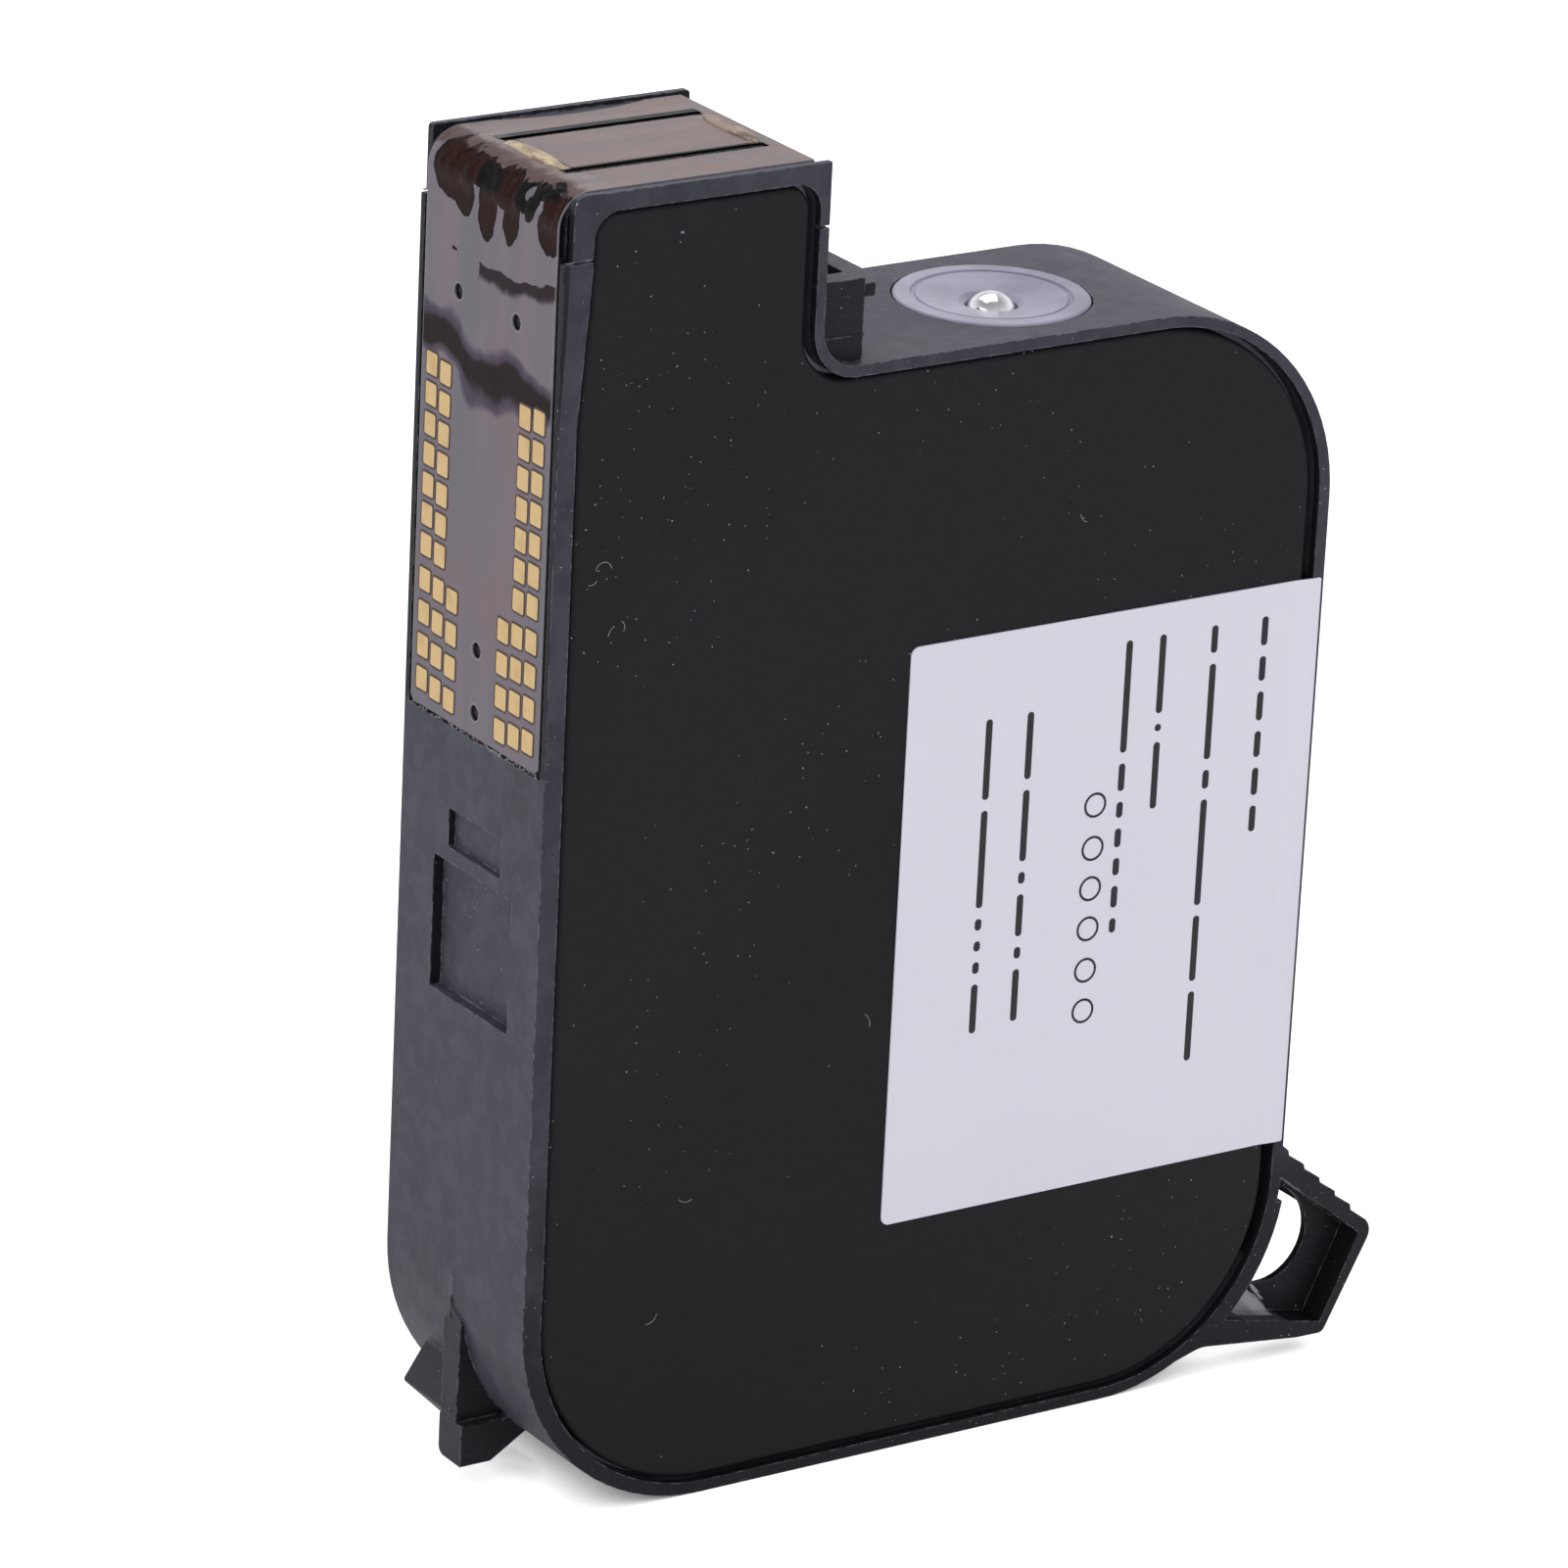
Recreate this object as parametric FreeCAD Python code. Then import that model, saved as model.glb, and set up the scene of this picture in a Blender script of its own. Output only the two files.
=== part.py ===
import FreeCAD, Part
import math
import os
from FreeCAD import Vector

# An inkjet ink cartridge, standing on its flat edge with the print head up.
# X runs from the contact face to the finger latch, Y across the thickness,
# Z up. X = 0 is the contact face while the parts are made; the last section
# moves everything so that the origin is the middle of the flat resting edge.

# Frame outline, seen from the side
bodyLength = 59.2
shoulderHeight = 75.4
snoutRise = 13.7
snoutLength = 19.15
thickness = 17.0
cornerRadius = 14.0
shoulderFillet = 2.6
halfThickness = thickness / 2

# Frame walls, as the bands that show round the side covers
frontBand = 1.35
snoutFrontBand = 2.1
bottomBand = 0.8
backBand = 0.85
shoulderBand = 0.75
neckBand = 0.7
topBand = 1.4
openingCornerRadius = 13.0
openingSnoutRadius = 1.8
bandTaperLowDrop = 15.1
bandTaperHighDrop = 5.1
bandTaperRadius = 8.0

# Slit across the rims near the top of the snout, and the lips above it
slitDrop = 4.25
slitWidth = 0.2
slitDepth = 0.5
slitBackDepth = 0.15
farLipSetback = 0.35
farLipRadius = 0.3
nearLipSetback = 0.6
nearLipRadius = 0.8
nearLipDrop = 0.2

# Bed for the contact film, between two thin lips
lipThickness = 0.5
bedMargin = 0.3
bedDepth = 0.3
gutterWidth = 0.4
gutterDepth = 0.9
gutterTopDrop = 1.5
lipRearRadius = 0.25
bedEndDrop = 0.5

# Contact film, its adhesive and its contact pads
filmThickness = 0.12
filmProud = 0.05
filmTopDrop = 0.15
filmBend = 2.3
filmHalfWidth = 7.7
filmDrop = 37.6
filmEndGap = 0.85
filmCornerRadius = 0.5
filmHoleRadius = 0.52
filmHoles = [(3.6, 9.5), (-3.3, 9.5), (0.0, 31.9), (0.0, 36.05)]
filmScoopHalf = 5.6
filmScoopDepth = 0.85
padWidth = 1.28
padHeight = 1.45
padThickness = 0.03
padRadius = 0.15
padOuterColumn = 6.42
padColumnPitch = 1.66
upperPadDrop = 15.0
upperPadRows = 7
upperPadPitch = 1.99
lowerPadDrop = 29.25
lowerPadRows = 4
lowerPadPitch = 2.2
padColumnDrop = 0.18

# Print head: silicon die in its pocket, feed slot and sealed lead windows
dieLength = 14.4
dieWidth = 7.9
dieThickness = 0.65
dieOffset = 0.475
diePocketGap = 0.5
dieAdhesiveThickness = 0.13
feedLength = 10.0
feedWidth = 4.0
slotCentre = 3.75
slotWidth = 0.75
slotEndGap = 0.05
slotRadius = 0.12
nozzleStripRise = 0.03
nozzleStripEndGap = 0.05
beadHalfSpan = 7.05
beadWindow = 0.9
beadRadius = 0.6
beadLength = 6.4
beadRise = 0.32

# Hollow rib behind the snout, and its small peg
ribLength = 4.3
ribHeight = 5.4
ribHalfWidth = 7.7
ribWall = 1.5
ribFrontWall = 0.95
ribFloor = 0.9
ribChamfer = 0.9
pegLength = 1.1
pegWidth = 0.7
pegHeight = 0.9
pegDrop = 1.05

# Fill port: raised disc with a groove, and the ball that plugs it
portFromSnout = 18.4
portRadius = 6.38
portGap = 0.12
portRise = 0.12
portRing = 1.1
portGroove = 0.3
portGrooveDepth = 0.16
portDishDrop = 0.45
portMouth = 2.15
portMouthDrop = 0.3
portEdge = 0.12
portGrooveSlope = 0.08
portInnerDrop = 0.04
portWallUnder = 4.0
ballRadius = 1.715
ballCentreDrop = 1.4

# Two shallow pockets in the contact face
pocketSmall = (-3.7, 2.65, 8.0, 5.4)
pocketSmallDepth = 0.5
pocketLarge = (-5.2, 4.3, 18.0, 9.0)
pocketLargeDepth = 0.8

# Finger latch on the rear lower corner, measured from the rear and the base
latchReach = 8.1
latchTipHeight = 8.35
latchFootReach = 4.4
latchFootHeight = 1.15
latchHeelReach = 2.2
latchHeelHeight = 1.2
latchBlendInset = 5.7
latchBlendHeight = 2.1
latchBlendRadius = 2.5
latchRootInset = 8.0
latchRootHeight = 1.4
latchTopInset = 1.0
latchTopHeight = 16.55
latchOverlap = 4.0
latchTipRadius = 1.2
latchFootRadius = 0.6
latchWall = 0.65
ledgeRootWall = 1.9
ledgeTipWall = 1.1
borderRootWall = 3.2
gussetDepth = 2.0
gussetThickness = 0.5
latchHoleReach = 0.35
latchHoleHeight = 8.3
latchHoleRadius = 3.5
latchDoubler = 0.45
latchDoublerTop = 11.6
ridgeCount = 5
ridgePitch = 1.85
ridgeDepth = 0.26
ridgeRun = 0.35
ridgeOffset = 2.0

# Keying lugs on the front lower corner
postFarSide = 1.1
postNearSide = 0.65
postNearTop = 1.0
postRidge = 0.35
postTopDrop = 1.58
postFarSlope = 1.1
postNearSlope = 0.65
footFarSide = 1.25
footNearSide = 1.45
footLow = 1.75
footHigh = 4.6
footToe = 2.3
footHeel = 5.2
footHeelRise = 1.8
footRadius = 0.6
lugRootDepth = 2.0
wingEnd = 5.6
wingRadius = 0.3
wingTip = (-4.3, 1.05)
wingUpper = (-2.2, 4.2)
wingLower = (-0.7, -2.5)
wingRoot = (2.1, 0.1)
seamRise = 0.6
seamWidth = 0.25
seamProud = 0.06

# Pressed sheet covers and the label
coverGap = 0.12
coverRearGap = 0.5
coverLowGap = 0.2
coverDrop = 0.15
coverSheet = 0.5
coverFlange = 1.5
coverEdgeRadius = 0.45
tabLength = 3.0
tabDepth = 1.4
tabSlotGap = 0.05
labelWidth = 31.9
labelHeight = 39.8
labelEdgeGap = 0.25
labelLow = 16.1
labelThickness = 0.1
labelRadius = 0.6
labelRearRadius = 0.15
labelLift = 1.2

# Liner moulded inside the frame, and the ink bag on it
linerWall = 1.6
filmSheet = 0.12
filmLand = 0.9
plateThickness = 0.4
platePad = 0.1
plateMargin = 5.0
plateRadius = 9.0
plateEdge = 0.15
padOverhang = 0.6
springHalfLength = 21.0
springFlat = 7.0
springWidth = 14.0
springStrip = 0.3
springNose = 0.9
springBulge = 1.1
springHeight = 38.0

# Filter carrier in the snout
carrierGap = 0.1
carrierDrop = 4.7
carrierHeight = 17.0
carrierHalfWidth = 3.4
carrierWall = 1.5
screenThickness = 0.1
screenLand = 0.6
carrierNeckWall = 0.8

snoutHeight = shoulderHeight + snoutRise
linerHalf = halfThickness - coverDrop - coverFlange
filmTop = snoutHeight - filmTopDrop
wallTop = filmTop - filmThickness
bedHalf = halfThickness - lipThickness
dieTop = wallTop
pocketFloor = dieTop - dieThickness - dieAdhesiveThickness
linerTop = snoutHeight - topBand
slitHeight = snoutHeight - slitDrop
filmBottom = snoutHeight - filmDrop
bedBottom = filmBottom - bedMargin
filmEnd = snoutLength - filmEndGap
dieCentre = snoutLength / 2 + dieOffset
ribBack = snoutLength + ribLength
portCentre = snoutLength + portFromSnout
postTop = cornerRadius - postTopDrop
cornerMiddle = cornerRadius * (1 - math.sqrt(0.5))
carrierHigh = linerTop - carrierDrop
carrierLow = carrierHigh - carrierHeight
labelRight = bodyLength - labelEdgeGap
labelLeft = labelRight - labelWidth
labelHigh = labelLow + labelHeight
across = (-halfThickness - 1, halfThickness + 1)
latchTip = (bodyLength + latchReach, latchTipHeight)
latchFoot = (bodyLength + latchFootReach, latchFootHeight)
latchHeel = (bodyLength + latchHeelReach, latchHeelHeight)
latchBlend = (bodyLength - latchBlendInset, latchBlendHeight)
latchRoot = (bodyLength - latchRootInset, latchRootHeight)
latchTop = (bodyLength - latchTopInset, latchTopHeight)
latchHole = (bodyLength + latchHoleReach, latchHoleHeight)


def place(plane, u, v, w):
    """Point with u, v in the named plane and w across it."""
    if plane == "xz":
        return Vector(u, w, v)
    if plane == "yz":
        return Vector(w, u, v)
    return Vector(u, v, w)


def roundedWire(plane, corners, w):
    """Closed wire through corners (u, v, radius), with each corner rounded."""
    starts = []
    ends = []
    middles = []
    count = len(corners)
    for index, (u, v, radius) in enumerate(corners):
        before = corners[index - 1]
        after = corners[(index + 1) % count]
        here = Vector(u, v, 0)
        back = Vector(before[0] - u, before[1] - v, 0).normalize()
        ahead = Vector(after[0] - u, after[1] - v, 0).normalize()
        half = back.getAngle(ahead) / 2
        if radius <= 0:
            starts.append(here)
            ends.append(here)
            middles.append(None)
            continue
        reach = radius / math.tan(half)
        centre = here + (back + ahead).normalize() * (radius / math.sin(half))
        starts.append(here + back * reach)
        ends.append(here + ahead * reach)
        middles.append(centre + (here - centre).normalize() * radius)
    edges = []
    for index in range(count):
        start, middle, end = starts[index], middles[index], ends[index]
        if middle is not None:
            points = [place(plane, p.x, p.y, w) for p in (start, middle, end)]
            edges.append(Part.Arc(*points).toShape())
        following = starts[(index + 1) % count]
        if (following - end).Length > 1e-6:
            first = place(plane, end.x, end.y, w)
            last = place(plane, following.x, following.y, w)
            edges.append(Part.makeLine(first, last))
    return Part.Wire(edges)


def prism(plane, corners, low, high):
    """Rounded outline in a plane, drawn out across it from low to high."""
    face = Part.Face(roundedWire(plane, corners, low))
    return face.extrude(place(plane, 0, 0, high - low))


def block(x, y, z):
    """Box from three (low, high) pairs."""
    size = (x[1] - x[0], y[1] - y[0], z[1] - z[0])
    return Part.makeBox(*size, Vector(x[0], y[0], z[0]))


def rectangle(low, high, radius):
    """Corners of a rounded rectangle."""
    return [(low[0], low[1], radius), (high[0], low[1], radius),
            (high[0], high[1], radius), (low[0], high[1], radius)]


def mirrored(shape):
    """The same shape on the far side of the middle plane."""
    return shape.mirror(Vector(0, 0, 0), Vector(0, 1, 0))


def bothSides(shape):
    """The shape together with its mirror image."""
    return [shape, mirrored(shape)]


def outerCorners():
    """Outline of the frame from the side."""
    return [(0, 0, cornerRadius), (bodyLength, 0, cornerRadius),
            (bodyLength, shoulderHeight, cornerRadius),
            (snoutLength, shoulderHeight, shoulderFillet),
            (snoutLength, snoutHeight, lipRearRadius), (0, snoutHeight, 0)]


def openingCorners(inset, rear=0, under=0):
    """Outline of the side opening, drawn in by an inset, more at the rear and below."""
    left = frontBand + inset
    leftHigh = snoutFrontBand + inset
    right = bodyLength - backBand - inset - rear
    low = bottomBand + inset + under
    shoulder = shoulderHeight - shoulderBand - inset
    neck = snoutLength - neckBand - inset - rear
    high = snoutHeight - topBand - inset
    big = openingCornerRadius - inset
    small = max(openingSnoutRadius - inset, 0.3)
    concave = shoulderFillet + neckBand + inset
    return [(left, low, big), (right, low, big), (right, shoulder, big),
            (neck, shoulder, concave), (neck, high, small),
            (leftHigh, high, small),
            (leftHigh, snoutHeight - bandTaperHighDrop, bandTaperRadius),
            (left, snoutHeight - bandTaperLowDrop, bandTaperRadius)]


def coverCorners(inset):
    """Outline of what sits in the opening with the cover's wider gaps."""
    return openingCorners(inset, coverRearGap, coverLowGap)


def ring(plane, outer, inner, low, high):
    """Walled outline: the outer prism less the inner one."""
    return prism(plane, outer, low, high).cut(prism(plane, inner, low - 1, high + 1))


def slopePoint(start, end, distance, offset):
    """Point along the line from start to end, moved sideways by an offset."""
    along = Vector(end[0] - start[0], end[1] - start[1], 0).normalize()
    side = Vector(along.y, -along.x, 0)
    point = Vector(start[0], start[1], 0) + along * distance - side * offset
    return (point.x, point.y)


def latchOutline():
    """Outer outline of the latch, with its grip ridges as saw teeth."""
    corners = [(latchTop[0] - latchOverlap, latchTop[1], 0), (latchTop[0], latchTop[1], 0)]
    for index in range(ridgeCount):
        along = ridgeOffset + index * ridgePitch
        corners.append(slopePoint(latchTop, latchTip, along, 0) + (0,))
        corners.append(slopePoint(latchTop, latchTip, along + ridgeRun, -ridgeDepth) + (0,))
    corners.append(latchTip + (latchTipRadius,))
    corners.append(latchFoot + (latchFootRadius,))
    corners.append(latchHeel + (0,))
    corners.append(latchBlend + (latchBlendRadius,))
    corners.append(latchRoot + (0,))
    corners.append((latchRoot[0] - latchOverlap, latchRoot[1] + latchOverlap, 0))
    return corners


def latchInside():
    """Inner outline of the latch walls."""
    ledgeLength = math.dist(latchTop, latchTip)
    ledgeStart = slopePoint(latchTop, latchTip, 0, -ledgeRootWall)
    ledgeEnd = slopePoint(latchTop, latchTip, ledgeLength - latchWall, -ledgeTipWall)
    footInside = slopePoint(latchFoot, latchTip, latchWall, latchWall)
    rootHigh = latchRoot[1] + borderRootWall
    return [(latchTop[0] - latchOverlap, latchTop[1], 0),
            ledgeStart + (0,), ledgeEnd + (0,), footInside + (0,),
            (latchRoot[0], rootHigh, 0),
            (latchRoot[0] - latchOverlap, rootHigh + latchOverlap, 0)]


def bodyShade():
    """Solid frame outline, used to trim what is added at its corners."""
    return prism("xz", outerCorners(), *across)


def latch():
    """Ridged ledge over the full thickness, on two bordered gussets."""
    outer = prism("xz", latchOutline(), -halfThickness, halfThickness)
    space = prism("xz", latchInside(), *across)
    reach = (latchRoot[0] - latchOverlap, latchTip[0] + 1)
    height = (-1, latchTop[1] + 1)
    ledgeLow = latchTip[1] - latchWall
    ledge = outer.cut(space).common(
        block(reach, across, (ledgeLow, height[1])))
    gussetEnd = -halfThickness + gussetDepth + gussetThickness
    border = outer.cut(space).common(block(reach, (across[0], gussetEnd), height))
    web = outer.common(block(reach, (gussetEnd - gussetThickness, gussetEnd), height))
    cylinder = Part.makeCylinder(cornerRadius + latchDoubler, thickness,
                                 Vector(bodyLength - cornerRadius, -halfThickness, cornerRadius),
                                 Vector(0, 1, 0))
    doubler = cylinder.common(outer).common(
        block(reach, (-halfThickness, gussetEnd), (-1, latchDoublerTop)))
    hole = Part.makeCylinder(latchHoleRadius, thickness,
                             Vector(latchHole[0], -halfThickness, latchHole[1]),
                             Vector(0, 1, 0))
    near = border.multiFuse([web.cut(hole), doubler])
    return ledge.multiFuse(bothSides(near)).cut(bodyShade())


def keyingLugs():
    """Upright post with its web, a foot under it and a slanted wing."""
    rise = cornerRadius - footLow
    back = cornerRadius - math.sqrt(cornerRadius ** 2 - rise ** 2) + lugRootDepth
    front = [(-postNearSide, footLow, 0), (postFarSide, footLow, 0),
             (postFarSide, postTop - postFarSlope, 0), (postRidge, postTop, 0),
             (-postNearTop, postTop - postNearSlope, 0)]
    post = prism("yz", front, 0, back)
    side = [(0, footLow, 0), (footToe, footLow, 0), (footHeel, footLow + footHeelRise, 0),
            (footHeel, footHigh, 0), (0, footHigh, 0)]
    ends = [(-footNearSide, footLow, 0), (footFarSide, footLow, footRadius),
            (footFarSide, footHigh, 0), (-footNearSide, footHigh, 0)]
    under = prism("xz", side, -footNearSide, footFarSide)
    foot = prism("yz", ends, 0, footHeel).common(under)
    post = post.cut(block((0, back), across, (0, footHigh))).fuse(foot)
    wingPoints = [(wingUpper, 0), (wingTip, wingRadius), (wingLower, wingRadius), (wingRoot, 0)]
    wing = prism("xz", [(cornerMiddle + point[0], cornerMiddle + point[1], radius)
                        for point, radius in wingPoints], 0, wingEnd)
    seam = block((-seamProud, lugRootDepth),
                 (postRidge - seamWidth / 2, postRidge + seamWidth / 2),
                 (postTop - 1, cornerRadius + seamRise))
    return post.multiFuse([wing, seam]).cut(bodyShade())


def backRib():
    """Hollow rib against the rear wall of the snout, with a small peg."""
    base = shoulderHeight
    top = shoulderHeight + ribHeight
    plan = [(snoutLength, -ribHalfWidth, 0), (ribBack - ribChamfer, -ribHalfWidth, 0),
            (ribBack, -ribHalfWidth + 2 * ribChamfer, 0),
            (ribBack, ribHalfWidth - 2 * ribChamfer, 0),
            (ribBack - ribChamfer, ribHalfWidth, 0), (snoutLength, ribHalfWidth, 0)]
    rib = prism("xy", plan, base - 0.1, top)
    hollow = block((snoutLength + ribFrontWall, ribBack - ribWall),
                   (-ribHalfWidth + ribWall, ribHalfWidth - ribWall),
                   (base + ribFloor, top + 1))
    pegY = -ribHalfWidth + 2 * ribChamfer
    peg = block((ribBack - ribChamfer / 2, ribBack + pegLength), (pegY, pegY + pegWidth),
                (top - pegDrop - pegHeight, top - pegDrop))
    return rib.cut(hollow).fuse(peg)


def filmBed():
    """What is cut away so that the film lies between two lips."""
    outside = 2.0
    reach = snoutLength + outside
    front = block((-outside, bedDepth), (-bedHalf, bedHalf), (bedBottom, slitHeight))
    inner = filmThickness - filmProud
    bend = filmBend - filmThickness
    below = [(inner, slitHeight - 1, 0), (reach, slitHeight - 1, 0),
             (reach, wallTop - bedEndDrop, 0), (snoutLength, wallTop - bedEndDrop, 0),
             (filmEnd, wallTop, 0), (inner, wallTop, bend)]
    above = block((-outside, reach), (-bedHalf, bedHalf), (slitHeight - 0.5, snoutHeight + 1))
    keep = prism("xz", below, *across)
    gutters = []
    for side in bothSides(block((-outside, gutterDepth),
                                (bedHalf - gutterWidth, bedHalf),
                                (bedBottom, snoutHeight - gutterTopDrop))):
        gutters.append(side)
    return front.multiFuse([above.cut(keep)] + gutters)


def lipCut(y, setback, radius, top):
    """What is cut away to set one lip back and round its front corner."""
    reach = snoutLength + 1
    keep = [(setback, slitHeight, 0), (reach, slitHeight, 0), (reach, top, 0),
            (setback, top, radius)]
    return block((-1, reach), y, (slitHeight, snoutHeight + 1)).cut(prism("xz", keep, *across))


def snoutSteps():
    """Set-back lips at the snout's top, and the slit below them."""
    slit = (slitHeight - slitWidth, slitHeight)
    cuts = [lipCut((across[0], 0), nearLipSetback, nearLipRadius, snoutHeight - nearLipDrop),
            lipCut((0, across[1]), farLipSetback, farLipRadius, snoutHeight),
            block((snoutLength - slitBackDepth, snoutLength + 1), across, slit)]
    cuts.extend(bothSides(block((-1, snoutLength + 1), (across[0], -halfThickness + slitDepth), slit)))
    return cuts


def facePockets():
    """Two shallow pockets in the contact face, below the film."""
    cuts = []
    for pocket, depth in ((pocketSmall, pocketSmallDepth), (pocketLarge, pocketLargeDepth)):
        low, high, bottomDrop, topDrop = pocket
        cuts.append(block((-1, depth), (low, high), (bedBottom - bottomDrop, bedBottom - topDrop)))
    return cuts


def outerFrame():
    """Moulded frame with snout, shoulder, latch, lugs and pockets."""
    frame = prism("xz", outerCorners(), -halfThickness, halfThickness)
    frame = frame.multiFuse([latch(), keyingLugs(), backRib()])
    cuts = [prism("xz", openingCorners(0), *across), filmBed()]
    cuts.extend(snoutSteps())
    cuts.extend(facePockets())
    cuts.append(Part.makeCylinder(portRadius + portGap, 2 * shoulderBand + 1,
                                  Vector(portCentre, 0, shoulderHeight - shoulderBand - 0.5)))
    cuts.append(diePocket(diePocketGap, pocketFloor, snoutHeight + 1))
    cuts.append(feedSlot(linerTop - 1, snoutHeight))
    return frame.cut(cuts[0].multiFuse(cuts[1:]))


def diePocket(gap, low, high):
    """Room for the die, larger all round by a gap."""
    return block((dieCentre - dieLength / 2 - gap, dieCentre + dieLength / 2 + gap),
                 (-dieWidth / 2 - gap, dieWidth / 2 + gap), (low, high))


def feedSlot(low, high):
    """Ink feed under the die."""
    corners = rectangle((dieCentre - feedLength / 2, -feedWidth / 2),
                        (dieCentre + feedLength / 2, feedWidth / 2), feedWidth / 2 - 0.01)
    return prism("xy", corners, low, high)


def fillDisc():
    """Raised disc round the fill hole, turned from its section."""
    top = shoulderHeight + portRise
    base = shoulderHeight - shoulderBand
    ringIn = portRadius - portRing
    grooveIn = ringIn - portGroove
    dish = top - portDishDrop
    section = [(ballRadius, base), (portRadius, base), (portRadius, top - portEdge),
               (portRadius - portEdge, top), (ringIn, top),
               (ringIn - portGrooveSlope, top - portGrooveDepth),
               (grooveIn, top - portGrooveDepth), (grooveIn - portGrooveSlope, top - portInnerDrop),
               (portMouth, dish), (ballRadius, dish - portMouthDrop)]
    points = [Vector(portCentre + radius, 0, height) for radius, height in section]
    face = Part.Face(Part.makePolygon(points + points[:1]))
    return face.revolve(Vector(portCentre, 0, 0), Vector(0, 0, 1), 360)


def between(low, high, shares):
    """Places along a straight side, as shares of the way."""
    return [low + share * (high - low) for share in shares]


def tabPlaces():
    """Where the cover tabs go: side of the opening and place along it."""
    rear = bodyLength - cornerRadius
    high = shoulderHeight - cornerRadius
    places = [("low", x) for x in between(cornerRadius, rear, (0.2, 0.8))]
    places += [("back", z) for z in between(cornerRadius, high, (0.25, 0.75))]
    places += [("shoulder", x) for x in between(snoutLength + shoulderFillet, rear, (0.4,))]
    places += [("front", z) for z in between(cornerRadius, high, (0.15, 0.6, 0.95))]
    return places


def tabBlocks(extra, depth):
    """Cover tabs, or the slots for them when there is an extra gap."""
    inset = coverGap - extra
    sheet = coverSheet + 2 * extra
    half = tabLength / 2 + extra
    y = (-linerHalf - 0.3, -linerHalf + depth)
    blocks = []
    for side, along in tabPlaces():
        if side == "low":
            low = bottomBand + coverLowGap + inset
            blocks.append(block((along - half, along + half), y, (low, low + sheet)))
        elif side == "shoulder":
            high = shoulderHeight - shoulderBand - inset
            blocks.append(block((along - half, along + half), y, (high - sheet, high)))
        elif side == "back":
            right = bodyLength - backBand - coverRearGap - inset
            blocks.append(block((right - sheet, right), y, (along - half, along + half)))
        else:
            left = frontBand + inset
            blocks.append(block((left, left + sheet), y, (along - half, along + half)))
    return blocks


def innerFrame():
    """Softer liner in the frame, with the fill port and the feed."""
    liner = ring("xz", openingCorners(0), coverCorners(linerWall), -linerHalf, linerHalf)
    liner = liner.fuse(fillDisc())
    cuts = [feedSlot(linerTop - linerWall - 1, linerTop + 1)]
    cuts.append(Part.makeCylinder(ballRadius, portWallUnder + 1,
                                  Vector(portCentre, 0, shoulderHeight - portWallUnder)))
    for slot in tabBlocks(tabSlotGap, tabDepth + 0.1):
        cuts.extend(bothSides(slot))
    return liner.cut(cuts[0].multiFuse(cuts[1:]))


def fillBall():
    """Steel ball that plugs the fill hole."""
    return Part.makeSphere(ballRadius, Vector(portCentre, 0, shoulderHeight - ballCentreDrop))


def sideCover():
    """Pressed sheet tray on the label side, with tabs on its flange."""
    face = -halfThickness + coverDrop
    tray = prism("xz", coverCorners(coverGap), face, face + coverFlange)
    rim = [edge for edge in tray.Edges if abs(edge.CenterOfMass.y - face) < 0.001]
    tray = tray.makeFillet(coverEdgeRadius, rim)
    hollow = prism("xz", coverCorners(coverGap + coverSheet),
                   face + coverSheet, face + coverFlange + 1)
    tabs = tabBlocks(0, tabDepth)
    return tray.cut(hollow).multiFuse(tabs)


def label():
    """Paper label on the cover, its rear edge lifted onto the rim."""
    cover = -halfThickness + coverDrop
    rim = -halfThickness
    seam = bodyLength - backBand
    low = [(labelLeft, cover), (seam - labelLift, cover), (seam, rim), (labelRight, rim)]
    points = [Vector(x, y, labelLow) for x, y in low]
    points += [Vector(x, y - labelThickness, labelLow) for x, y in reversed(low)]
    sheet = Part.Face(Part.makePolygon(points + points[:1])).extrude(
        Vector(0, 0, labelHigh - labelLow))
    outline = [(labelLeft, labelLow, labelRadius), (labelRight, labelLow, labelRearRadius),
               (labelRight, labelHigh, labelRearRadius), (labelLeft, labelHigh, labelRadius)]
    return sheet.common(prism("xz", outline, *across))


def bagFilm():
    """Film welded to the side face of the liner."""
    return prism("xz", coverCorners(filmLand), -linerHalf - filmSheet, -linerHalf)


def plateCorners(extra):
    """Outline of a pressure plate, larger all round by an extra."""
    low = (frontBand + plateMargin - extra, bottomBand + plateMargin - extra)
    high = (bodyLength - backBand - plateMargin + extra,
            shoulderHeight - shoulderBand - plateMargin + extra)
    return rectangle(low, high, plateRadius + extra)


def platePadSheet():
    """Thin sheet that keeps the plate's edge off the bag film."""
    return prism("xz", plateCorners(padOverhang), -linerHalf, -linerHalf + platePad)


def pressurePlate():
    """Flat steel plate that the spring pushes outward."""
    face = -linerHalf + platePad
    plate = prism("xz", plateCorners(0), face, face + plateThickness)
    edges = [edge for edge in plate.Edges if abs(edge.CenterOfMass.y - face) < 0.001]
    return plate.makeFillet(plateEdge, edges)


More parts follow.
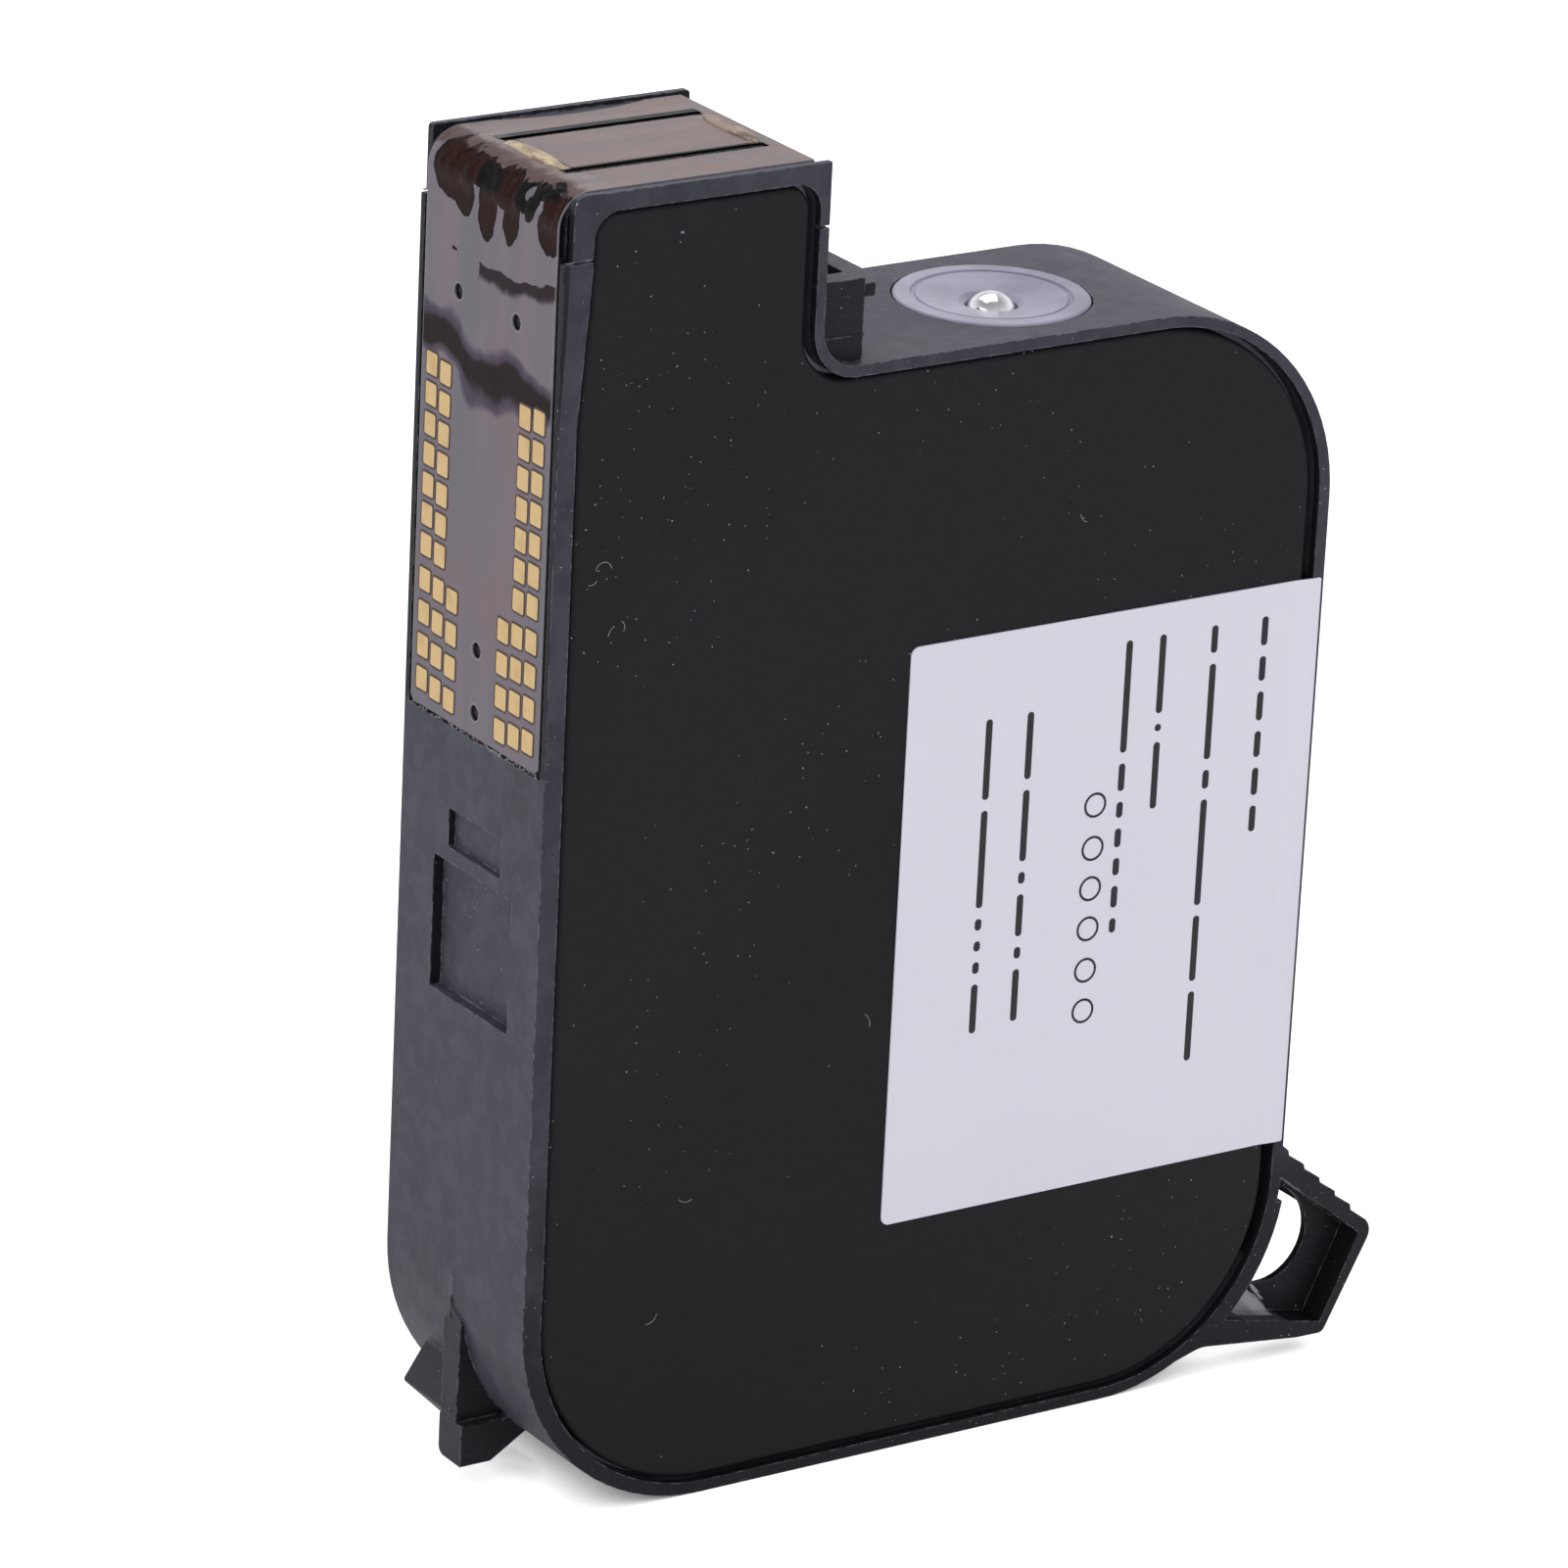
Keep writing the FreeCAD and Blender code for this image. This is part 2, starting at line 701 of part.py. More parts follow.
def bowSpring():
    """Bowed strip spring between the two plates."""
    rise = linerHalf - platePad - plateThickness
    centre = bodyLength / 2

    def loop(inset):
        tip = springHalfLength - inset
        top = rise - inset
        nose = springNose - inset
        upper = [Vector(centre - tip + nose, nose, 0), Vector(centre - springFlat, top, 0),
                 Vector(centre + springFlat, top, 0), Vector(centre + tip - nose, nose, 0)]
        edges = []
        for sign in (1, -1):
            a, b, c, d = [Vector(p.x, p.y * sign, 0) for p in upper]
            lift = Vector(0, sign * springBulge, 0)
            edges.append(Part.Arc(a, (a + b) / 2 + lift, b).toShape())
            edges.append(Part.makeLine(b, c))
            edges.append(Part.Arc(c, (c + d) / 2 + lift, d).toShape())
        for sign in (1, -1):
            x = centre + sign * (tip - nose)
            edges.append(Part.Arc(Vector(x, nose, 0), Vector(centre + sign * tip, 0, 0),
                                  Vector(x, -nose, 0)).toShape())
        return Part.Wire(Part.__sortEdges__(edges))

    low = springHeight - springWidth / 2
    outer = Part.Face(loop(0)).extrude(Vector(0, 0, springWidth))
    inner = Part.Face(loop(springStrip)).extrude(Vector(0, 0, springWidth))
    strip = outer.cut(inner)
    strip.translate(Vector(0, 0, low))
    return strip


def snoutInside():
    """Front and rear faces of the liner's inside, in the snout."""
    front = snoutFrontBand + linerWall
    back = snoutLength - neckBand - coverRearGap - linerWall
    return front, back


def filterCarrier():
    """Frame that holds the two screens, with a neck up to the feed."""
    front, back = snoutInside()
    x = (front + carrierGap, back - carrierGap)
    y = (-carrierHalfWidth, carrierHalfWidth)
    body = block(x, y, (carrierLow, carrierHigh))
    window = block((x[0] + carrierWall, x[1] - carrierWall),
                   (y[0] - 1, y[1] + 1),
                   (carrierLow + carrierWall, carrierHigh - carrierWall))
    neckHigh = linerTop - linerWall
    outer = rectangle((dieCentre - feedLength / 2, -feedWidth / 2),
                      (dieCentre + feedLength / 2, feedWidth / 2), feedWidth / 2 - 0.01)
    neck = prism("xy", outer, carrierHigh - 0.1, neckHigh)
    wall = carrierNeckWall
    boreCorners = rectangle((dieCentre - feedLength / 2 + wall, -feedWidth / 2 + wall),
                            (dieCentre + feedLength / 2 - wall, feedWidth / 2 - wall),
                            feedWidth / 2 - wall - 0.01)
    bore = prism("xy", boreCorners, carrierHigh - carrierWall - 1, neckHigh + 1)
    return body.fuse(neck).cut(window.fuse(bore))


def filterScreen():
    """Fine screen on the carrier's window."""
    front, back = snoutInside()
    land = carrierGap + screenLand
    corners = rectangle((front + land, carrierLow + screenLand),
                        (back - land, carrierHigh - screenLand), 0.8)
    return prism("xz", corners, -carrierHalfWidth - screenThickness, -carrierHalfWidth)


def printheadDie():
    """Silicon die under the film."""
    return diePocket(0, dieTop - dieThickness, dieTop)


def dieAdhesive():
    """Loop of adhesive under the die, round the feed."""
    low = pocketFloor
    return diePocket(0, low, low + dieAdhesiveThickness).cut(feedSlot(low - 1, low + 1))


def filmSection():
    """Section of the film: down the contact face, round the edge, along the top."""
    outerX = -filmProud
    innerX = outerX + filmThickness
    outer = [(outerX, filmBottom, 0), (filmEnd, filmBottom, 0), (filmEnd, filmTop, 0),
             (outerX, filmTop, filmBend)]
    inner = [(innerX, filmBottom - 1, 0), (filmEnd + 1, filmBottom - 1, 0),
             (filmEnd + 1, wallTop, 0), (innerX, wallTop, filmBend - filmThickness)]
    return outer, inner


def filmHoleCutters():
    """Round holes through the film and the sheet behind it."""
    return [Part.makeCylinder(filmHoleRadius, 2, Vector(-1, y, snoutHeight - drop), Vector(1, 0, 0))
            for y, drop in filmHoles]


def filmScoop():
    """Bowed far edge of the film, where it draws away from the lip."""
    edge = filmHalfWidth + 0.01
    ends = [Vector(dieCentre + sign * filmScoopHalf, edge, wallTop - 1) for sign in (-1, 1)]
    deepest = Vector(dieCentre, filmHalfWidth - filmScoopDepth, wallTop - 1)
    outline = Part.Wire([Part.Arc(ends[0], deepest, ends[1]).toShape(),
                         Part.makeLine(ends[1], ends[0])])
    return Part.Face(outline).extrude(Vector(0, 0, 2))


def nozzleStrip():
    """Nozzle area between the slots, a little higher than the film round it."""
    half = beadHalfSpan - beadRadius - nozzleStripEndGap
    return block((dieCentre - half, dieCentre + half),
                 (-slotCentre, slotCentre), (wallTop, filmTop + nozzleStripRise))


def flexCircuit():
    """Polyimide film with slots beside the nozzles, lead windows and holes."""
    outer, inner = filmSection()
    film = prism("xz", outer, -filmHalfWidth, filmHalfWidth)
    film = film.cut(prism("xz", inner, *across))
    cuts = filmHoleCutters()
    reach = dieLength / 2 + slotEndGap
    for side in (-1, 1):
        y = side * slotCentre
        slot = rectangle((dieCentre - reach, y - slotWidth / 2),
                         (dieCentre + reach, y + slotWidth / 2), slotRadius)
        cuts.append(prism("xy", slot, wallTop - 0.5, filmTop + 0.5))
        cuts.append(beadWindowBlock(side, 0.5))
    cuts.append(filmScoop())
    film = film.fuse(nozzleStrip()).cut(cuts[0].multiFuse(cuts[1:]))
    around = rectangle((across[0], filmBottom - 1), (across[1], snoutHeight), 0)
    kept = rectangle((-filmHalfWidth, filmBottom), (filmHalfWidth, snoutHeight + 1), filmCornerRadius)
    return film.cut(ring("yz", around, kept, -1, 1))


def beadWindowBlock(side, extra):
    """Window where the leads cross to the die."""
    centre = dieCentre + side * beadHalfSpan
    return block((centre - beadWindow / 2, centre + beadWindow / 2),
                 (-beadLength / 2, beadLength / 2), (wallTop - extra, filmTop + extra))


def leadBead(side):
    """Sealant bead over the leads at one end of the die."""
    centre = dieCentre + side * beadHalfSpan
    plug = beadWindowBlock(side, 0)
    dome = Part.makeSphere(1.0)
    stretch = FreeCAD.Matrix()
    stretch.scale(beadRadius, beadLength / 2 + 0.1, beadRise)
    dome = dome.transformGeometry(stretch)
    dome.translate(Vector(centre, 0, filmTop))
    upper = block((centre - 2, centre + 2), (-beadLength, beadLength), (filmTop, filmTop + 2))
    return plug.fuse(dome.common(upper))


def flexAdhesive():
    """Bonding sheet between the film and the frame's front wall."""
    inner = filmThickness - filmProud
    half = bedHalf - gutterWidth
    sheet = block((inner, bedDepth), (-half, half), (filmBottom + bedMargin, slitHeight))
    holes = filmHoleCutters()
    return sheet.cut(holes[0].multiFuse(holes[1:]))


def contactPads():
    """Gold pads in two mirrored groups, each column a little lower inward."""
    pads = []
    outer = -filmProud - padThickness
    upper = [snoutHeight - upperPadDrop - row * upperPadPitch for row in range(upperPadRows)]
    lower = [snoutHeight - lowerPadDrop - row * lowerPadPitch for row in range(lowerPadRows)]
    for side in (-1, 1):
        for column, rows in enumerate((upper + lower, upper + lower, lower)):
            for height in rows:
                y = side * (padOuterColumn - column * padColumnPitch)
                z = height - column * padColumnDrop
                corners = rectangle((y - padWidth / 2, z - padHeight / 2),
                                    (y + padWidth / 2, z + padHeight / 2), padRadius)
                pads.append(prism("yz", corners, outer, -filmProud))
    return Part.makeCompound(pads)


pieces = {
    "outer_frame": outerFrame(),
    "inner_frame": innerFrame(),
    "fill_ball": fillBall(),
    "label_side_cover": sideCover(),
    "plain_side_cover": mirrored(sideCover()),
    "label": label(),
    "near_bag_film": bagFilm(),
    "far_bag_film": mirrored(bagFilm()),
    "near_plate_pad": platePadSheet(),
    "far_plate_pad": mirrored(platePadSheet()),
    "near_pressure_plate": pressurePlate(),
    "far_pressure_plate": mirrored(pressurePlate()),
    "bow_spring": bowSpring(),
    "filter_carrier": filterCarrier(),
    "near_filter_screen": filterScreen(),
    "far_filter_screen": mirrored(filterScreen()),
    "printhead_die": printheadDie(),
    "die_adhesive": dieAdhesive(),
    "flex_circuit": flexCircuit(),
    "flex_adhesive": flexAdhesive(),
    "contact_pads": contactPads(),
    "front_lead_bead": leadBead(-1),
    "rear_lead_bead": leadBead(1),
}

os.makedirs("parts", exist_ok=True)
for name, shape in pieces.items():
    shape.translate(Vector(-bodyLength / 2, 0, 0))
    if len(shape.Solids) == 1:
        shape = shape.Solids[0]
    print(name, shape.ShapeType, len(shape.Solids), "solids", "valid", shape.isValid(),
          round(shape.Volume, 1))
    shape.exportStep("parts/" + name + ".step")
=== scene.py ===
import math
import random

import bmesh
import bpy
from mathutils import Matrix, Vector


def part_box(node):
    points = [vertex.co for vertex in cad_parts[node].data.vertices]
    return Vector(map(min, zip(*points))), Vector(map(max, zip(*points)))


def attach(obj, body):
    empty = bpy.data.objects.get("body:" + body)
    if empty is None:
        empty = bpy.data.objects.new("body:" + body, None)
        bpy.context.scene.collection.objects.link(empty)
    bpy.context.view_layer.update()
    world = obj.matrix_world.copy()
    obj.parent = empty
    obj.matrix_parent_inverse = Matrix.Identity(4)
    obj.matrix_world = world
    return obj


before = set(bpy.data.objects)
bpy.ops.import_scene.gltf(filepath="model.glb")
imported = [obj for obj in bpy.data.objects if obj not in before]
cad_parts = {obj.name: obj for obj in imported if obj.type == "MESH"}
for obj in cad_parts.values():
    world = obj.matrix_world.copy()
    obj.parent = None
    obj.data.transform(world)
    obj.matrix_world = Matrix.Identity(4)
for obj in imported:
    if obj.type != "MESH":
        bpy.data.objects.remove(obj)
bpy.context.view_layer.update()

mm = 0.001
frontFace = -29.6  # where the contact face lies along X, in millimetres
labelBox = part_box("label")
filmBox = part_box("flex_circuit")
print("loaded", len(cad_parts), "nodes")


# a piece is made from a bmesh, rides on the one body and takes a material

def newPiece(name, bm, material, smooth=False):
    mesh = bpy.data.meshes.new(name)
    bmesh.ops.recalc_face_normals(bm, faces=bm.faces)
    bm.to_mesh(mesh)
    bm.free()
    piece = bpy.data.objects.new(name, mesh)
    bpy.context.scene.collection.objects.link(piece)
    mesh.materials.append(material)
    for polygon in mesh.polygons:
        polygon.use_smooth = smooth
    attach(piece, "root")
    return piece


def addPlate(bm, centre, size, radius, segments=4):
    # a flat plate whose corners are rounded about its thinnest side
    made = bmesh.ops.create_cube(bm, size=1.0)["verts"]
    bmesh.ops.scale(bm, vec=size, verts=made)
    thin = list(size).index(min(size))
    edges = {edge for vert in made for edge in vert.link_edges}
    corners = [e for e in edges if abs((e.verts[0].co - e.verts[1].co)[thin]) > min(size) / 2]
    faces = bmesh.ops.bevel(bm, geom=corners, offset=radius, segments=segments, affect="EDGES",
                            profile=0.5, material=-1)["faces"]
    made = {vert for vert in made if vert.is_valid} | {v for face in faces for v in face.verts}
    bmesh.ops.translate(bm, vec=centre, verts=list(made))


def addGrain(bm, centre, size, roll):
    # a small uneven lump, turned and squashed to its size
    made = bmesh.ops.create_icosphere(bm, subdivisions=1, radius=0.5)["verts"]
    bmesh.ops.rotate(bm, cent=(0, 0, 0), matrix=Matrix.Rotation(roll, 3, "Z"), verts=made)
    bmesh.ops.scale(bm, vec=size, verts=made)
    bmesh.ops.translate(bm, vec=centre, verts=made)


def islandBoxes(name):
    # the corners of each separate solid in a node, read from a merged copy of its mesh
    bm = bmesh.new()
    bm.from_mesh(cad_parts[name].data)
    bmesh.ops.remove_doubles(bm, verts=bm.verts, dist=0.0005 * mm)
    left, boxes = set(bm.verts), []
    while left:
        found, front = set(), [left.pop()]
        while front:
            vert = front.pop()
            found.add(vert)
            for edge in vert.link_edges:
                other = edge.other_vert(vert)
                if other in left:
                    left.remove(other)
                    front.append(other)
        low = Vector([min(vert.co[i] for vert in found) for i in range(3)])
        high = Vector([max(vert.co[i] for vert in found) for i in range(3)])
        boxes.append((low, high))
    bm.free()
    return sorted(boxes, key=lambda box: (round(box[0].z, 5), round(box[0].y, 5)))


# nodes: a socket is fed by a link or by a plain value

def newMaterial(name, roughness=0.5, metallic=0.0, specular=0.5):
    material = bpy.data.materials.new(name)
    material.use_nodes = True
    shader = material.node_tree.nodes["Principled BSDF"]
    shader.inputs["Roughness"].default_value = roughness
    shader.inputs["Metallic"].default_value = metallic
    shader.inputs["Specular IOR Level"].default_value = specular
    return material, shader, material.node_tree


def addNode(tree, kind, **settings):
    node = tree.nodes.new(kind)
    for key, value in settings.items():
        setattr(node, key, value)
    return node


def feed(tree, socket, value):
    if isinstance(value, bpy.types.NodeSocket):
        tree.links.new(value, socket)
    else:
        socket.default_value = value


def mathOf(tree, operation, a, b=0.0, clamp=False):
    node = addNode(tree, "ShaderNodeMath", operation=operation, use_clamp=clamp)
    feed(tree, node.inputs[0], a)
    feed(tree, node.inputs[1], b)
    return node.outputs[0]


def productOf(tree, *values):
    result = values[0]
    for value in values[1:]:
        result = mathOf(tree, "MULTIPLY", result, value)
    return result


def highestOf(tree, *values):
    result = values[0]
    for value in values[1:]:
        result = mathOf(tree, "MAXIMUM", result, value)
    return result


def inverted(tree, value):
    return mathOf(tree, "SUBTRACT", 1.0, value)


def swingOf(tree, noise, reach):
    # a noise set about zero, as wide as its reach
    return mathOf(tree, "MULTIPLY", mathOf(tree, "SUBTRACT", noise, 0.5), reach)


def allOf(tree, *tests):
    # 1 where every test holds: (value, "above" or "below", limit)
    return productOf(tree, *[mathOf(tree, "GREATER_THAN" if side == "above" else "LESS_THAN", value, limit)
                             for value, side, limit in tests])


def vectorOf(tree, operation, a, b=(0, 0, 0)):
    node = addNode(tree, "ShaderNodeVectorMath", operation=operation)
    feed(tree, node.inputs[0], a)
    feed(tree, node.inputs[1], b)
    single = operation in ("LENGTH", "DOT_PRODUCT")
    return node.outputs["Value"] if single else node.outputs[0]


def objectPlace(tree):
    return addNode(tree, "ShaderNodeTexCoord").outputs["Object"]


def partsOf(tree, vector):
    node = addNode(tree, "ShaderNodeSeparateXYZ")
    tree.links.new(vector, node.inputs[0])
    return node.outputs


def stretched(tree, place, scale):
    node = addNode(tree, "ShaderNodeMapping")
    tree.links.new(place, node.inputs["Vector"])
    node.inputs["Scale"].default_value = scale
    return node.outputs[0]


def turnedFlat(tree, place, angle, scale):
    # turned in the side view first, then stretched along its new direction
    node = addNode(tree, "ShaderNodeMapping")
    tree.links.new(place, node.inputs["Vector"])
    node.inputs["Rotation"].default_value = (0.0, math.radians(angle), 0.0)
    return stretched(tree, node.outputs[0], scale)


def spotIn(tree, vector, first, second):
    # two of a point's parts, in millimetres
    node = addNode(tree, "ShaderNodeVectorMath", operation="SCALE")
    tree.links.new(vector, node.inputs[0])
    node.inputs["Scale"].default_value = 1 / mm
    parts = partsOf(tree, node.outputs[0])
    joined = addNode(tree, "ShaderNodeCombineXYZ")
    tree.links.new(parts[first], joined.inputs[0])
    tree.links.new(parts[second], joined.inputs[1])
    return joined.outputs[0]


def sideSpot(tree, place):
    # depth behind the front face, and height
    return vectorOf(tree, "SUBTRACT", spotIn(tree, place, 0, 2), (frontFace, 0.0, 0.0))


def noiseOf(tree, place, scale, detail=2.0, roughness=0.5, colour=False):
    node = addNode(tree, "ShaderNodeTexNoise")
    tree.links.new(place, node.inputs["Vector"])
    node.inputs["Scale"].default_value = scale
    node.inputs["Detail"].default_value = detail
    node.inputs["Roughness"].default_value = roughness
    return node.outputs["Color" if colour else "Fac"]


def rampOf(tree, value, low, high, outLow=0.0, outHigh=1.0, smooth=True):
    node = addNode(tree, "ShaderNodeMapRange")
    node.interpolation_type = "SMOOTHSTEP" if smooth else "LINEAR"
    feed(tree, node.inputs["Value"], value)
    node.inputs["From Min"].default_value = low
    node.inputs["From Max"].default_value = high
    node.inputs["To Min"].default_value = outLow
    node.inputs["To Max"].default_value = outHigh
    return node.outputs["Result"]


def patchesOf(tree, place, pattern, outLow=0.0, outHigh=1.0):
    # patches of noise: (scale, detail, roughness, from, to)
    scale, detail, roughness, low, high = pattern
    return rampOf(tree, noiseOf(tree, place, scale, detail, roughness), low, high, outLow, outHigh)


def shakenPlace(tree, place, noise, reach):
    # the place moved about by a noise, by half its reach at most
    shake = vectorOf(tree, "SUBTRACT", noiseOf(tree, place, *noise, colour=True), (0.5, 0.5, 0.5))
    return vectorOf(tree, "ADD", place, vectorOf(tree, "MULTIPLY", shake, (reach,) * 3))


def mixColour(tree, factor, a, b):
    node = addNode(tree, "ShaderNodeMix", data_type="RGBA")
    # its colour sockets share their names with other types, so they go by number
    feed(tree, node.inputs[0], factor)
    feed(tree, node.inputs[6], a if isinstance(a, bpy.types.NodeSocket) else tuple(a) + (1.0,))
    feed(tree, node.inputs[7], b if isinstance(b, bpy.types.NodeSocket) else tuple(b) + (1.0,))
    return node.outputs[2]


def roundedNormal(tree, radius):
    # the light that a moulded or pressed edge catches
    node = addNode(tree, "ShaderNodeBevel", samples=4)
    node.inputs["Radius"].default_value = radius
    return node.outputs[0]


def edgeOf(tree, rounded, sharp, flat):
    # 0 on a flat face and 1 on an edge
    face = addNode(tree, "ShaderNodeNewGeometry").outputs["True Normal"]
    return rampOf(tree, vectorOf(tree, "DOT_PRODUCT", rounded, face), flat, sharp)


def bumpInto(tree, shader, height, strength, distance, normal=None):
    node = addNode(tree, "ShaderNodeBump")
    node.inputs["Strength"].default_value = strength
    node.inputs["Distance"].default_value = distance
    tree.links.new(height, node.inputs["Height"])
    if normal is not None:
        tree.links.new(normal, node.inputs["Normal"])
    tree.links.new(node.outputs[0], shader.inputs["Normal"])


def betweenOf(tree, value, low, high, soft):
    # 1 between low and high
    return productOf(tree, rampOf(tree, value, low - soft, low + soft),
                     rampOf(tree, value, high + soft, high - soft))


def ovalOf(tree, spot, oval):
    # 1 in the middle, 0 on the outline: (first, second, half width, half height)
    shifted = vectorOf(tree, "SUBTRACT", spot, (oval[0], oval[1], 0.0))
    scaled = vectorOf(tree, "DIVIDE", shifted, (oval[2], oval[3], 1.0))
    return inverted(tree, vectorOf(tree, "LENGTH", scaled))


def unionOf(tree, spot, ovals):
    return highestOf(tree, *[ovalOf(tree, spot, oval) for oval in ovals])


# specks sit in some cells of a pattern, and more of them in some patches of the surface

specks = {"ragged": (2, 0.6), "raggedScale": 4, "raggedReach": 0.35, "core": 0.6,
          "patches": (45, 2, 0.5, 0.42, 0.68), "sparse": 0.12, "dense": 2.4, "faintest": 0.25}


def specksOf(tree, place, scale, size, share):
    shaken = shakenPlace(tree, place, (scale * specks["raggedScale"], *specks["ragged"]),
                         specks["raggedReach"] / scale)
    cells = addNode(tree, "ShaderNodeTexVoronoi")
    tree.links.new(shaken, cells.inputs["Vector"])
    cells.inputs["Scale"].default_value = scale
    near = rampOf(tree, cells.outputs["Distance"], size, size * specks["core"])
    split = addNode(tree, "ShaderNodeSeparateColor")
    tree.links.new(cells.outputs["Color"], split.inputs[0])
    thick = patchesOf(tree, place, specks["patches"], specks["sparse"] * share, specks["dense"] * share)
    chosen = mathOf(tree, "LESS_THAN", split.outputs[0], thick)
    bright = rampOf(tree, split.outputs[1], 0, 1, specks["faintest"], 1.0)
    return productOf(tree, near, chosen, bright)


def dustOf(tree, place, sorts):
    # fine and coarse specks: (scale, size in its cell, share of the cells)
    return highestOf(tree, *[specksOf(tree, place, *sort) for sort in sorts])


# camera, floor and light

view = {"place": (-0.300548, -0.440661, 0.243235), "turn": (69.41566, -2.6278, -32.7614),
        "lens": 202.475, "sensor": 36.0, "farthest": 20.0}

studio = {"floorSize": 6.0, "floorColour": (0.50, 0.50, 0.503), "floorGlow": 0.9, "floorSpill": 0.3,
          "floorRoughness": 0.9, "floorSpecular": 0.05, "contactReach": 3.6 * mm, "contactOpen": 0.55,
          "lowSky": (0.92, 0.93, 0.98), "highSky": (0.40, 0.41, 0.435), "skyStart": 0.25,
          # name, place, point that it aims at, size, power
          "lamps": [("leftBox", (-0.9, -0.15, 0.55), (0.0, 0.0, 0.05), 0.7, 2.0),
                    ("topBox", (0.1, 0.35, 1.0), (0.0, 0.0, 0.05), 0.8, 6.0)]}


def standCamera():
    cameraData = bpy.data.cameras.new("camera")
    cameraData.lens = view["lens"]
    cameraData.sensor_width = view["sensor"]
    cameraData.clip_end = view["farthest"]
    camera = bpy.data.objects.new("camera", cameraData)
    camera.location = view["place"]
    camera.rotation_euler = [math.radians(angle) for angle in view["turn"]]
    bpy.context.scene.collection.objects.link(camera)
    bpy.context.scene.camera = camera


def floorFinish():
    material, shader, tree = newMaterial("paleFloor", studio["floorRoughness"],
                                         specular=studio["floorSpecular"])
    shader.inputs["Base Color"].default_value = studio["floorColour"] + (1.0,)
    shader.inputs["Emission Color"].default_value = (1.0, 1.0, 1.0, 1.0)
    seen = addNode(tree, "ShaderNodeLightPath").outputs["Is Camera Ray"]
    glow = rampOf(tree, seen, 0, 1, studio["floorSpill"], studio["floorGlow"], smooth=False)
    # the floor's glow gives way in the narrow contact shadow
    near = addNode(tree, "ShaderNodeAmbientOcclusion", samples=8)
    near.inputs["Distance"].default_value = studio["contactReach"]
    lit = rampOf(tree, near.outputs["AO"], 0.0, studio["contactOpen"], smooth=False)
    tree.links.new(productOf(tree, glow, lit), shader.inputs["Emission Strength"])
    return material


def layFloor():
    bm = bmesh.new()
    bmesh.ops.create_grid(bm, x_segments=1, y_segments=1, size=studio["floorSize"] / 2)
    mesh = bpy.data.meshes.new("studioFloor")
    bm.to_mesh(mesh)
    bm.free()
    mesh.materials.append(floorFinish())
    floor = bpy.data.objects.new("studioFloor", mesh)
    bpy.context.scene.collection.objects.link(floor)


def lightStudio():
    world = bpy.data.worlds.new("studioWorld")
    world.use_nodes = True
    tree = world.node_tree
    upward = partsOf(tree, addNode(tree, "ShaderNodeTexCoord").outputs["Generated"])[2]
    sky = mixColour(tree, rampOf(tree, upward, studio["skyStart"], 1.0), studio["lowSky"],
                    studio["highSky"])
    tree.links.new(sky, tree.nodes["Background"].inputs["Color"])
    bpy.context.scene.world = world
    bpy.context.scene.view_settings.view_transform = "Standard"
    for name, place, aim, size, power in studio["lamps"]:
        lampData = bpy.data.lights.new(name, "AREA")
        lampData.energy = power
        lampData.size = size
        lamp = bpy.data.objects.new(name, lampData)
        lamp.location = place
        direction = Vector(aim) - Vector(place)
        lamp.rotation_euler = direction.to_track_quat("-Z", "Y").to_euler()
        bpy.context.scene.collection.objects.link(lamp)


standCamera()
layFloor()
lightStudio()
print("camera, floor and lights stand")
